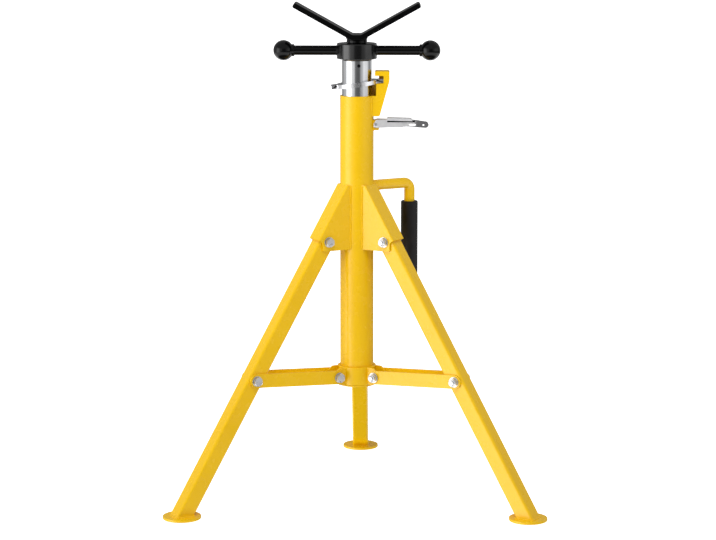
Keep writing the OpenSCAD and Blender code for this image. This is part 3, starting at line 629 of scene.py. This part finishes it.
def make_lever_boss():
    """Clevis that the lever turns on, and the rivet through both."""
    half_gap, half, height, in_post, reach, floor_t = BOSS_GAP / 2, 7.5, 15.7, 21, LEVER_X + 5.3, 2
    low, high = LEVER_Z - height / 2, LEVER_Z + height / 2
    boss = block((in_post, -half, low), (reach, half, high))
    round_edges(boss, 1.6, 4, lambda e: all(v.co.x > reach - 0.1 for v in e.verts))
    boss = carved(boss, block((10, -half_gap, low + floor_t), (reach + 5, half_gap, high + 5)))
    boss = carved(boss, rod(SEAT_R, low - 9, high + 9, 96))
    soften(boss, 0.4, 2, 40)
    seam_x = math.sqrt(POST_R ** 2 - half ** 2)
    bead = weld_bead([
        (seam_x + 0.7, -half, high - 1), (seam_x + 0.7, -half, low), (POST_R + 0.5, 0, low - 0.3),
        (seam_x + 0.7, half, low), (seam_x + 0.7, half, high - 1),
    ], 1.1)
    piece(joined(boss, bead), "painted_lever_boss", "post", ["lever_boss"], "yellow_paint", YELLOW)
    head_r, head_h, pin_r, face = 3.5, 1.4, 2.5, LEVER_OUT + SIDE_GAP
    head = turned([(0, 0), (head_r, 0), (head_r, 0.5), (2.6, 1.2), (1.2, head_h), (0, head_h)], 48)
    pin = rod(pin_r, -face, face, 48)
    rivet = joined(
        placed(pin, along_y(LEVER_X, LEVER_Z)),
        copied(head, along_y(LEVER_X, LEVER_Z, face)),
        copied(head, along_y(LEVER_X, LEVER_Z, -face, flip=True)),
    )
    head.free()
    piece(rivet, "lever_rivet", "post", ["lever_pin"], "zinc_steel", ZINC)


def make_handle():
    """One round bar, pushed out from the post, bent down and run into the grip."""
    start_x, foot_z, bend_steps, seam_steps = POST_R - 2.5, 350, 14, 28
    bm = bmesh.new()
    bmesh.ops.create_circle(bm, cap_ends=False, segments=48, radius=HANDLE_R)
    bm.transform(move(start_x, 0, HANDLE_Z) @ turn("Y", 90))
    start = rim = bm.edges[:]
    middle = (HANDLE_REACH - HANDLE_BEND, 0, HANDLE_Z - HANDLE_BEND)
    rim = pushed(bm, rim, move(middle[0] - start_x, 0, 0))
    for _ in range(bend_steps):
        rim = pushed(bm, rim, move(*middle) @ turn("Y", 90 / bend_steps) @ move(*(-c for c in middle)))
    rim = pushed(bm, rim, move(0, 0, foot_z - middle[2]))
    for ring in (start, rim):
        bmesh.ops.contextual_create(bm, geom=ring)
    clean(bm)
    seam_and_shadow_strip = []
    for i in range(seam_steps):
        a = math.tau * i / seam_steps
        y, z = (HANDLE_R + 0.5) * math.sin(a), (HANDLE_R + 0.5) * math.cos(a)
        seam_and_shadow_strip.append((math.sqrt(POST_R ** 2 - y ** 2) + 0.5, y, HANDLE_Z + z))
    bar = placed(joined(bm, weld_bead(seam_and_shadow_strip, 1.3, closed=True)), turn("Z", HANDLE_TURN))
    piece(bar, "painted_handle_bar", "post", ["handle_bar"], "yellow_paint", YELLOW)

    low = GRIP_TOP - GRIP_LEN
    grip = turned([
        (0, low), (3, low), (3, low + 0.6), (GRIP_R - 3.2, low + 0.1), (GRIP_R - 1.1, low + 0.9),
        (GRIP_R - 0.1, low + 3.2), (GRIP_R, low + 6), (GRIP_R, GRIP_TOP - 1.6),
        (GRIP_R - 0.5, GRIP_TOP - 0.4),
        (GRIP_R - 1.5, GRIP_TOP), (HANDLE_R + 0.9, GRIP_TOP), (HANDLE_R + 0.05, GRIP_TOP - 0.7),
        (HANDLE_R + 0.05, low + 5), (0, low + 5),
    ], 96)
    grip.transform(turn("Z", HANDLE_TURN) @ move(HANDLE_REACH, 0, 0))
    piece(grip, "rubber_grip", "post", ["handle_grip"], "grip_rubber", RUBBER)


# Mast

def make_mast():
    """Chromed tube with two set screws that hold its bushing, and the washer on its top."""
    screw_z, screw_r, screw_foot, screw_end, hole_r = 683.3, 2.5, 17.2, MAST_R - 0.4, 2.6
    hex_r, hex_depth = 1.35, 2.5
    across = [turn("Z", a) @ move(0, 0, screw_z) @ turn("Y", 90) for a in (-81, 99)]
    tube = soften(pipe(MAST_BORE_R, MAST_R, MAST_FOOT, MAST_TOP, 160), 0.6)
    tube = carved(tube, joined(*[placed(rod(hole_r, 15, 25, 40), put) for put in across]))
    piece(tube, "chromed_mast_tube", "mast", ["mast_tube"], "chrome", CHROME)
    screws = []
    for put in across:
        screw = soften(rod(screw_r, screw_foot, screw_end, 40), 0.35, 2)
        socket = bmesh.new()
        bmesh.ops.create_cone(
            socket, cap_ends=True, segments=6, radius1=hex_r, radius2=hex_r, depth=2 * hex_depth,
        )
        screws.append(placed(carved(screw, placed(socket, move(0, 0, screw_end))), put))
    piece(joined(*screws), "set_screws", "mast", ["bushing_set_screws"], "dark_screws", BLACK_OXIDE)
    washer_in, washer_out, washer_t = SCREW_R + 0.5, SCREW_R + 9, 1.4
    ring = soften(pipe(washer_in, washer_out, MAST_TOP, MAST_TOP + washer_t, 96), 0.25, 2)
    piece(ring, "bronze_thrust_washer", "mast", ["thrust_washer"], "bronze", BRONZE)


# Spinner

def make_spinner():
    """Round nut on the screw, with a bar and a ball on either side."""
    top = SPINNER_Z + SPINNER_H
    nut = turned([
        (SCREW_R + 1.2, SPINNER_Z), (SPINNER_R, SPINNER_Z), (SPINNER_R, top), (SCREW_R + 1.3, top),
        (SCREW_R + 0.1, top - 1.2), (SCREW_R + 0.1, SPINNER_Z + 1.1),
    ], 160)
    round_edges(nut, 1.5, 5, lambda e: all(abs(v.co.xy.length - SPINNER_R) < SAME for v in e.verts)
                and e.calc_face_angle(0) > 1)
    piece(nut, "enamelled_spinner_nut", "spinner", ["spinner_nut"], "black_enamel", NUT_ENAMEL)
    neck_r, neck, in_nut, ball_steps = SPIN_BAR_R + 2, -BALL_R - 0.9, 22, 40
    start = -math.sqrt(BALL_R ** 2 - neck_r ** 2)
    first = math.asin(start / BALL_R)
    angles = [first + (math.pi / 2 - first) * i / ball_steps for i in range(ball_steps + 1)]
    round_side = [(BALL_R * math.cos(t), BALL_R * math.sin(t)) for t in angles]
    for side, angle in (("right", 0.0), ("left", 180.0)):
        lay = turn("Z", angle) @ move(0, 0, SPIN_BAR_Z) @ turn("Y", 90)
        bar = rod(SPIN_BAR_R, in_nut, BALL_REACH - 1.5)
        collar = soften(turned([
            (SPIN_BAR_R - 0.5, SPINNER_R - 1.5), (SPIN_BAR_R + 0.9, SPINNER_R - 1.5),
            (SPIN_BAR_R + 0.25, SPINNER_R + 1.0), (SPIN_BAR_R - 0.5, SPINNER_R + 1.2),
        ], 64), 0.3, 2)
        piece(placed(joined(bar, collar), lay), f"enamelled_spinner_bar_{side}", "spinner",
              [f"spinner_bar_{side}"], "black_enamel", ENAMEL)
        ball = turned([
            (SPIN_BAR_R + 0.02, neck), (neck_r - 0.5, neck), (neck_r, neck + 0.6),
            (neck_r, start - 0.6), *round_side, (0, 0), (SPIN_BAR_R + 0.02, 0),
        ])
        piece(placed(ball, lay @ move(0, 0, BALL_REACH)), f"moulded_ball_{side}", "spinner",
              [f"ball_knob_{side}"], "black_ball", BALLS)


# Head

def make_head():
    """Screw with a real helix, its socket, and the plate bent to a V."""
    length, pitch, turn_steps = 230, 5.0, 40
    foot, turns = VEE_Z - length, int((length - 2) / pitch) + 1
    bm = bmesh.new()
    crest, root = SCREW_R - 0.06, SCREW_R - 2.3
    points = [(root, 0), (root, 1.55), (crest, 2.15), (crest, 4.4), (root, pitch)]
    verts = [bm.verts.new((r, 0, foot - pitch + z)) for r, z in points]
    edges = [bm.edges.new(pair) for pair in zip(verts, verts[1:])]
    bmesh.ops.spin(
        bm, geom=verts + edges, cent=(0, 0, 0), axis=(0, 0, 1), dvec=(0, 0, pitch / turn_steps),
        angle=math.tau * turns, steps=turn_steps * turns, use_merge=False, use_duplicate=False,
    )
    bmesh.ops.remove_doubles(bm, verts=bm.verts, dist=SAME)
    for z, side in ((foot + 0.01, 1), (VEE_Z - 4, -1)):
        cut_level(bm, z, side)
        rim = [e for e in bm.edges if e.is_boundary and all(abs(v.co.z - z) < 1e-2 for v in e.verts)]
        bmesh.ops.contextual_create(bm, geom=rim)
    clean(bm)
    shank = turned([
        (0, VEE_Z - 7), (SCREW_R - 2.2, VEE_Z - 7), (SCREW_R - 0.1, VEE_Z - 5.4), (SCREW_R - 0.1, VEE_Z),
        (0, VEE_Z),
    ], 64)
    screw = joined(bm, shank)
    piece(screw, "threaded_lift_screw", "head", ["lift_screw"], "screw_steel", SCREW_STEEL, crease=30)

    socket_r, seam_steps = 15.8, 48
    socket = pipe(SCREW_R, socket_r, SOCKET_Z, VEE_Z - 0.02)
    round_edges(socket, 0.8, 4, lambda e: all(abs(v.co.z - SOCKET_Z) < SAME for v in e.verts)
                and e.calc_face_angle(0) > 1)
    seam_and_shadow_strip = []
    for i in range(seam_steps):
        a = math.tau * i / seam_steps
        x, y = (socket_r + 0.1) * math.cos(a), (socket_r + 0.1) * math.sin(a)
        seam_and_shadow_strip.append((x, y, VEE_Z - 0.6 + max(0, abs(x) - VEE_FLAT - 2) * 0.5))
    bead = weld_bead(seam_and_shadow_strip, 1.1, closed=True)
    piece(joined(socket, bead), "enamelled_socket", "head", ["head_socket"], "black_enamel", ENAMEL)

    slope = math.radians(VEE_ANGLE)
    tip = (VEE_TIP, VEE_Z + (VEE_TIP - VEE_FLAT) * math.tan(slope))
    tip_top = (tip[0] - VEE_T * math.sin(slope), tip[1] + VEE_T * math.cos(slope))
    inner = VEE_FLAT - VEE_T * math.tan(slope / 2)
    right = [(VEE_FLAT, VEE_Z, 12), (*tip, 0), (*tip_top, 0), (inner, VEE_Z + VEE_T, 7)]
    left = [(-x, z, r) for x, z, r in reversed(right)]
    plate = slab(right + left, -VEE_W / 2, VEE_W / 2)

    def at_tip_corner(e):
        ends = [v.co for v in e.verts]
        return all(
            abs(abs(p.y) - VEE_W / 2) < SAME and abs(p.x) > VEE_TIP - 5.5 for p in ends
        ) and (ends[0] - ends[1]).length > VEE_T - 0.5

    round_edges(plate, 2.5, 4, at_tip_corner)
    soften(plate, 0.7, 3, 40)
    piece(plate, "enamelled_vee_plate", "head", ["vee_plate"], "black_enamel", ENAMEL)


# Lock plate and brake lever

def make_lock_plate():
    """Round plate with two end tabs and a hole."""
    rim, half, tab_half, held_x = LOCK_HOLE_R + 9.2, LOCK_T / 2, 9, 45.5
    free_x = -rim - 8
    plate = rod(rim, -half, half, 160)
    tabs = placed(slab([
        (free_x, -tab_half, 2), (held_x, -tab_half, 1.5), (held_x, tab_half, 1.5), (free_x, tab_half, 2),
    ], -half, half), turn("X", -90))
    plate = carved(plate, tabs, "UNION")
    plate = carved(plate, rod(LOCK_HOLE_R, -9, 9, 128))
    plate.transform(move(0, 0, LOCK_Z) @ turn("Y", -LOCK_TILT))
    piece(plate, "zinc_lock_plate", "lock_plate", ["lock_plate"], "zinc_steel", LOCK_ZINC)


def make_brake_lever():
    """Sheet lever: two cheeks straddle the boss and close to one bar with a rest on top."""
    over, under, inner, half = 8.8, -3.6, 7.8, LEVER_T / 2
    closed, slot_x, deep = LEVER_X + 46.5, LEVER_TIP - 26, 9

    def fork(outer, thin, end):
        """A tall block with the lever's plan: parallel, then drawn in, then straight to its end."""
        plan = [(LEVER_X - 7.4, outer, 0), (LEVER_X + 9, outer, 0), (closed, thin, 0), (end, thin, 0)]
        return placed(slab(plan + [(x, -y, 0) for x, y, _ in reversed(plan)], -30, 30), turn("X", -90))

    def keep(bm, name, slot, material):
        piece(placed(bm, move(0, 0, LEVER_Z)), name, "brake_lever", ["brake_lever"], slot, material)

    body = slab([
        (LEVER_X - 3.7, -4.2, 3.6), (LEVER_TIP - 34, under + 1, 60), (LEVER_TIP - 4, under - 1, 4),
        (LEVER_TIP, -0.5, 3.4), (LEVER_TIP - 3, over - 4.2, 3), (LEVER_TIP - 30, over - 0.2, 40),
        (LEVER_X + 1, over, 2), (LEVER_X - 3.7, 1.5, 3),
    ], -LEVER_OUT, LEVER_OUT)
    body = carved(body, fork(LEVER_OUT, half, LEVER_TIP + 5), "INTERSECT")
    body = carved(body, fork(inner, half - 2, closed + 0.5))
    arm = slab([
        (LEVER_X - 1, under, 0), (closed - 4, under, 0), (closed - 4, over - 1, 0),
        (LEVER_X + 6, over - 1, 3), (LEVER_X - 1, 4, 0),
    ], -half, half)
    cam = placed(rod(4.5, -half, half), along_y(LEVER_X - 1.4, 0))
    body = carved(carved(body, arm, "UNION"), cam, "UNION")
    near_x, far_x = slot_x - 5.4, slot_x + 5.4
    slot = slab([
        (near_x, -2.1, 1.9), (far_x, -2.1, 1.9), (far_x, 1.7, 1.9), (near_x, 1.7, 1.9),
    ], -deep, deep)
    eye = placed(rod(1.7, -deep, deep, 40), along_y(LEVER_TIP - 9, -0.4))
    body = carved(body, joined(slot, eye))
    keep(body, "plated_brake_lever", "chrome", SATIN)

    rest_half = 9
    rest = slab([
        (LEVER_X + 17, over - 1.6, 0), (slot_x, over - 2.4, 0), (slot_x - 2, over + 1.4, 1),
        (LEVER_X + 18, over + 2.6, 1),
    ], -rest_half, rest_half)

    def on_rest_side(e):
        a, b = (v.co for v in e.verts)
        return abs(a.y - b.y) < SAME and min(a.z, b.z) > over + 1 and abs(abs(a.y) - rest_half) < SAME

    round_edges(rest, 1.6, 4, on_rest_side)
    keep(rest, "plated_lever_rest", "chrome", SATIN)

    # Painted shadow: a thin black oxide strip just under the rest, a little proud of the body's sides, is a
    # dark sheet that stands in for the shade the rest's overhang casts on the lever's body
    seam_and_shadow_strip = slab([
        (LEVER_X + 18, over - 4.0, 0), (slot_x + 4, over - 4.6, 0), (slot_x + 4, over - 1.6, 0),
        (LEVER_X + 18, over - 0.4, 0),
    ], -12, 12)
    seam_and_shadow_strip = carved(seam_and_shadow_strip, fork(LEVER_OUT + 0.25, half + 0.25, LEVER_TIP), "INTERSECT")
    keep(soften(seam_and_shadow_strip, 0.1, 1, 40), "painted_shadow_under_rest", "dark_screws", BLACK_OXIDE)


# Collar, legs and braces

def make_collar():
    """Ring that slides on the post, with a pair of welded ears for each leg's braces."""
    top, ear_t, ear_r, in_ring = COLLAR_Z + COLLAR_H, 3.2, 6.5, 25
    parts = [soften(pipe(POST_R + SIDE_GAP, COLLAR_R, COLLAR_Z, top), 0.7)]
    for leg in LEGS:
        for side in (-1, 1):
            y = side * LEG_W / 2
            ear = slab([
                (in_ring, COLLAR_Z + 0.6, 0), (COLLAR_X - 3, COLLAR_Z + 0.6, 4),
                (COLLAR_X + ear_r, COLLAR_PIVOT_Z - ear_r, 6.3),
                (COLLAR_X + ear_r, COLLAR_PIVOT_Z + ear_r, 6.3),
                (COLLAR_X - 3, top - 0.6, 4), (in_ring, top - 0.6, 0),
            ], *sorted((y, y - side * ear_t)))
            soften(ear, 0.5, 2, 40)
            seam_x = math.sqrt(COLLAR_R ** 2 - y ** 2) + 0.7
            bead = weld_bead([(seam_x, y, COLLAR_Z + 2), (seam_x, y, top - 2)], 1.0)
            parts += [placed(ear, at_leg(leg)), placed(bead, at_leg(leg))]
    piece(joined(*parts), "painted_collar", "collar", ["slide_collar"], "yellow_paint", YELLOW)


def make_leg(leg):
    """Square tube, open at both ends, its top cut back, welded down onto its round pad."""
    half, wall = LEG_W / 2, 2.0
    # The tube's ends from its pivot: the lower one is cut level afterwards
    foot, head = -532, 8
    tube = block((-half, -half, foot), (half, half, head))
    bore = block((-half + wall, -half + wall, foot - 68), (half - wall, half - wall, head + 12))

    def upright(e):
        return abs(e.verts[0].co.z - e.verts[1].co.z) > 100

    round_edges(tube, 4.0, 8, upright)
    round_edges(bore, 2.0, 5, upright)
    tube = carved(tube, bore)
    cut_back = slab([(half + 3, -7.6, 0), (half + 3, 12, 0), (half - 13.3, 12, 0)], -half - 3, half + 3)
    tube = carved(tube, cut_back)
    tube.transform(move(HINGE_X, 0, HINGE_Z) @ turn("Y", -LEG_ANGLE))
    cut_level(tube, PAD_T, 1)
    soften(tube, 0.3, 2, 40)
    long, corner = half / math.cos(math.radians(LEG_ANGLE)), 1.2
    near_x, far_x, side = FOOT_X - long, FOOT_X + long, half - corner
    seam_and_shadow_strip = [
        (near_x + corner, -half), (far_x - corner, -half), (far_x, -side), (far_x, side),
        (far_x - corner, half), (near_x + corner, half), (near_x, side), (near_x, -side),
    ]
    bead = weld_bead([(x, y, PAD_T + 0.2) for x, y in seam_and_shadow_strip], 1.3, closed=True)
    tube.transform(at_leg(leg))
    piece(tube, f"painted_leg_{leg}", f"leg_{leg}", [f"leg_tube_{leg}"], "yellow_paint", YELLOW)
    pad = soften(rod(PAD_R, 0, PAD_T, 128), 0.6, 3)
    pad = placed(joined(placed(pad, move(FOOT_X, 0, 0)), bead), at_leg(leg))
    piece(pad, f"painted_foot_pad_{leg}", f"leg_{leg}", [f"foot_pad_{leg}"], "yellow_paint", YELLOW)


def make_braces(leg):
    """Two flat bars beside the leg, and the ends of the bolt that holds them to it."""
    end, corner, body = BRACE_W / 2, BRACE_W / 2 - 0.02, f"brace_{leg}"
    lay = at_leg(leg) @ move(COLLAR_X, 0, COLLAR_PIVOT_Z) @ turn("Y", -BRACE_SLOPE)
    bars = []
    for low in (-HOLD_IN, BRACE_IN):
        bar = slab([
            (-end, -end, corner), (BRACE_LEN + end, -end, corner), (BRACE_LEN + end, end, corner),
            (-end, end, corner),
        ], low, low + BRACE_T)
        bars.append(soften(bar, 0.45, 2, 40))
    pair = placed(joined(*bars), lay)
    piece(pair, f"painted_brace_bars_{leg}", body, [f"brace_bars_{leg}"], "yellow_paint", YELLOW)
    spot = at_leg(leg)
    if leg == "back":
        spot = spot @ move(BRACE_X, 0, BRACE_Z) @ turn("X", 180) @ move(-BRACE_X, 0, -BRACE_Z)
    heads = placed(joined(*head_end(BRACE_X, BRACE_Z, HOLD_IN, BRACE_IN)), spot)
    piece(heads, f"brace_bolt_head_{leg}", body, [f"brace_bolt_{leg}"], "zinc_steel", ZINC)
    nuts = placed(joined(*nut_end(BRACE_X, BRACE_Z, HOLD_IN, BRACE_IN)), spot)
    piece(nuts, f"brace_bolt_nut_{leg}", body, [f"brace_nut_{leg}"], "zinc_steel", ZINC)


make_post()
make_lock_bracket()
make_lever_boss()
make_handle()
pivot_set(HINGE_X, HINGE_Z, GUSSET_IN + GUSSET_T, "post", "pivot", [
    "leg_pivot_bolts", "leg_pivot_nuts", "leg_pivot_washers",
])
make_mast()
make_spinner()
make_head()
make_lock_plate()
make_brake_lever()
make_collar()
pivot_set(COLLAR_X, COLLAR_PIVOT_Z, HOLD_IN + SIDE_GAP, "collar", "collar_pivot", [
    "collar_bolts", "collar_nuts", "collar_washers",
])
for leg in LEGS:
    make_leg_bracket(leg)
    make_leg(leg)
    make_braces(leg)
for shape in (HEAD, NUT, WASHER):
    shape.free()

# Solids that stay as they are, hidden inside others, get their own finish
for node, material in (("mast_bushing", SCREW_STEEL), *((f"brace_sleeve_{leg}", ZINC) for leg in LEGS)):
    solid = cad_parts[node]
    solid.data.materials.clear()
    solid.data.materials.append(material)


# Studio

# Brightness of the walls' brightest part, of the ceiling and of the ground
WALL_LIGHT, CEILING, GROUND = 3.4, 0.5, 1.8
# Where the lamps aim, and the camera as fitted to the photograph, in metres and degrees
STAND_MIDDLE = Vector((0, 0, 0.42))
CAMERA_AWAY, CAMERA_HEIGHT, CAMERA_SIDE, CAMERA_DOWN, CAMERA_TURN = 3.75, 1.0142, -88.79, 9.884, 1.21
CAMERA_LENS, CAMERA_SHIFT = 121.86, 0.0016


def make_floor():
    """A wide pale floor that is softly lit from below, as a light table is."""
    wide, glow, under_pads = 40, 0.94, 0.0006
    bm = bmesh.new()
    bmesh.ops.create_circle(bm, cap_ends=True, segments=96, radius=wide)
    floor = as_object(bm, "pale_floor")
    floor.location.z = -under_pads
    material, tree, shader, place = material_nodes("pale_floor_card")
    tone = ramp(tree, noise(tree, place, 1.3, 3), [(0.3, (0.93, 0.93, 0.935)), (0.7, (0.96, 0.96, 0.96))])
    tree.links.new(tone, shader.inputs["Base Color"])
    shader.inputs["Roughness"].default_value = 0.7
    shader.inputs["Emission Color"].default_value = (1, 1, 1, 1)
    shader.inputs["Emission Strength"].default_value = glow
    floor.data.materials.append(material)
    floor.visible_diffuse = floor.visible_glossy = False


def soft_light(name, azimuth, distance, height, width, tall, power):
    """A softbox that faces the middle of the stand and leaves no reflection of its own."""
    lamp = bpy.data.lights.new(name, "AREA")
    lamp.shape, lamp.size, lamp.size_y, lamp.energy = "RECTANGLE", width, tall, power
    holder = bpy.data.objects.new(name, lamp)
    collection.objects.link(holder)
    holder.visible_glossy = False
    a = math.radians(azimuth)
    holder.location = (distance * math.cos(a), distance * math.sin(a), height)
    aim = STAND_MIDDLE - holder.location
    holder.rotation_euler = aim.to_track_quat("-Z", "Y").to_euler()


def make_world():
    """The studio round the stand: a bright wall on the left, a weaker one on the right that
    stops above the floor, dark where the photographer stands, a pale floor and a dim ceiling."""
    world = bpy.data.worlds.new("studio")
    bpy.context.scene.world = world
    world.use_nodes = True
    tree = world.node_tree
    back = tree.nodes["Background"]
    facing = tree.nodes.new("ShaderNodeMapping")
    facing.inputs["Rotation"].default_value = (0, 0, math.radians(90))
    place = tree.nodes.new("ShaderNodeTexCoord").outputs["Generated"]
    tree.links.new(place, facing.inputs["Vector"])
    around = tree.nodes.new("ShaderNodeTexGradient")
    around.gradient_type = "RADIAL"
    tree.links.new(facing.outputs["Vector"], around.inputs["Vector"])
    split = tree.nodes.new("ShaderNodeSeparateXYZ")
    tree.links.new(place, split.inputs["Vector"])
    height = ranged(tree, split.outputs["Z"], 0, 1, -1, 1)

    def level(value):
        return (value / WALL_LIGHT,) * 3

    def walls(*stops):
        """Brightness by direction, from (degrees, brightness) stops: 0 is towards the camera."""
        return ramp(tree, around.outputs["Fac"], [
            (0.5 + degrees / 360, level(light)) for degrees, light in stops
        ])

    def up_to(low, high):
        """Nought below the sine of one height and one above the other."""
        return ramp(tree, height, [(0.5 + low / 2, (0, 0, 0)), (0.5 + high / 2, (1, 1, 1))])

    def over(under, cover, where):
        """Lays one light over another where the mask is bright."""
        blend = tree.nodes.new("ShaderNodeMix")
        blend.data_type = "RGBA"
        tree.links.new(where, blend.inputs["Factor"])
        tree.links.new(under, blend.inputs["A"])
        tree.links.new(cover, blend.inputs["B"])
        return blend.outputs["Result"]

    left = (
        (-180, 0.12), (-139, 0.36), (-120, 0.5), (-106, 0.7), (-94, 0.65), (-86, 1.0),
        (-78, WALL_LIGHT), (-50, WALL_LIGHT),
    )
    upper_walls = walls(
        *left, (-41, 1.3), (-30, 0.95), (-20, 1.0), (-12, 0.3), (-6, 0.18), (8, 0.13), (22, 0.14),
        (29, 0.4), (34, 0.65), (42, 0.6), (49, 0.95), (57, 1.28), (75, 1.1), (88, 1.05), (96, 0.8),
        (108, 0.37), (122, 0.32), (141, 0.7), (160, 0.4), (180, 0.12),
    )
    lower_walls = walls(
        *left, (-36, 1.2), (-22, 0.4), (-10, 0.2), (30, 0.10), (110, 0.10), (130, 0.25), (180, 0.3),
    )
    ground = ramp(tree, height, [
        (0.0, level(0.12)), (0.08, level(0.15)), (0.16, level(GROUND)), (0.5, level(GROUND)),
        (0.7, level(CEILING)), (1.0, level(CEILING)),
    ])
    ceiling = ramp(tree, height, [(0.0, level(CEILING)), (1.0, level(CEILING))])
    sky = over(ground, lower_walls, up_to(-0.40, -0.26))
    sky = over(sky, upper_walls, up_to(-0.135, -0.10))
    sky = over(sky, ceiling, up_to(0.24, 0.46))
    tree.links.new(sky, back.inputs["Color"])
    back.inputs["Strength"].default_value = WALL_LIGHT


def make_camera():
    """Where the photograph was taken from: a long lens, a little above the head."""
    lens = bpy.data.cameras.new("camera")
    camera = bpy.data.objects.new("camera", lens)
    collection.objects.link(camera)
    lens.sensor_fit, lens.sensor_width, lens.lens, lens.shift_x = "HORIZONTAL", 36, CAMERA_LENS, CAMERA_SHIFT
    side = math.radians(CAMERA_SIDE)
    camera.location = (CAMERA_AWAY * math.cos(side), CAMERA_AWAY * math.sin(side), CAMERA_HEIGHT)
    camera.rotation_euler = (math.radians(90 - CAMERA_DOWN), 0, math.radians(CAMERA_TURN))
    bpy.context.scene.camera = camera


make_floor()
make_world()
soft_light("top_softbox", azimuth=262, distance=1.4, height=2.5, width=1.6, tall=1.2, power=29)
soft_light("back_left_softbox", azimuth=142, distance=2.6, height=1.45, width=0.9, tall=1.2, power=7)
make_camera()
bpy.context.scene.view_settings.view_transform = "Standard"
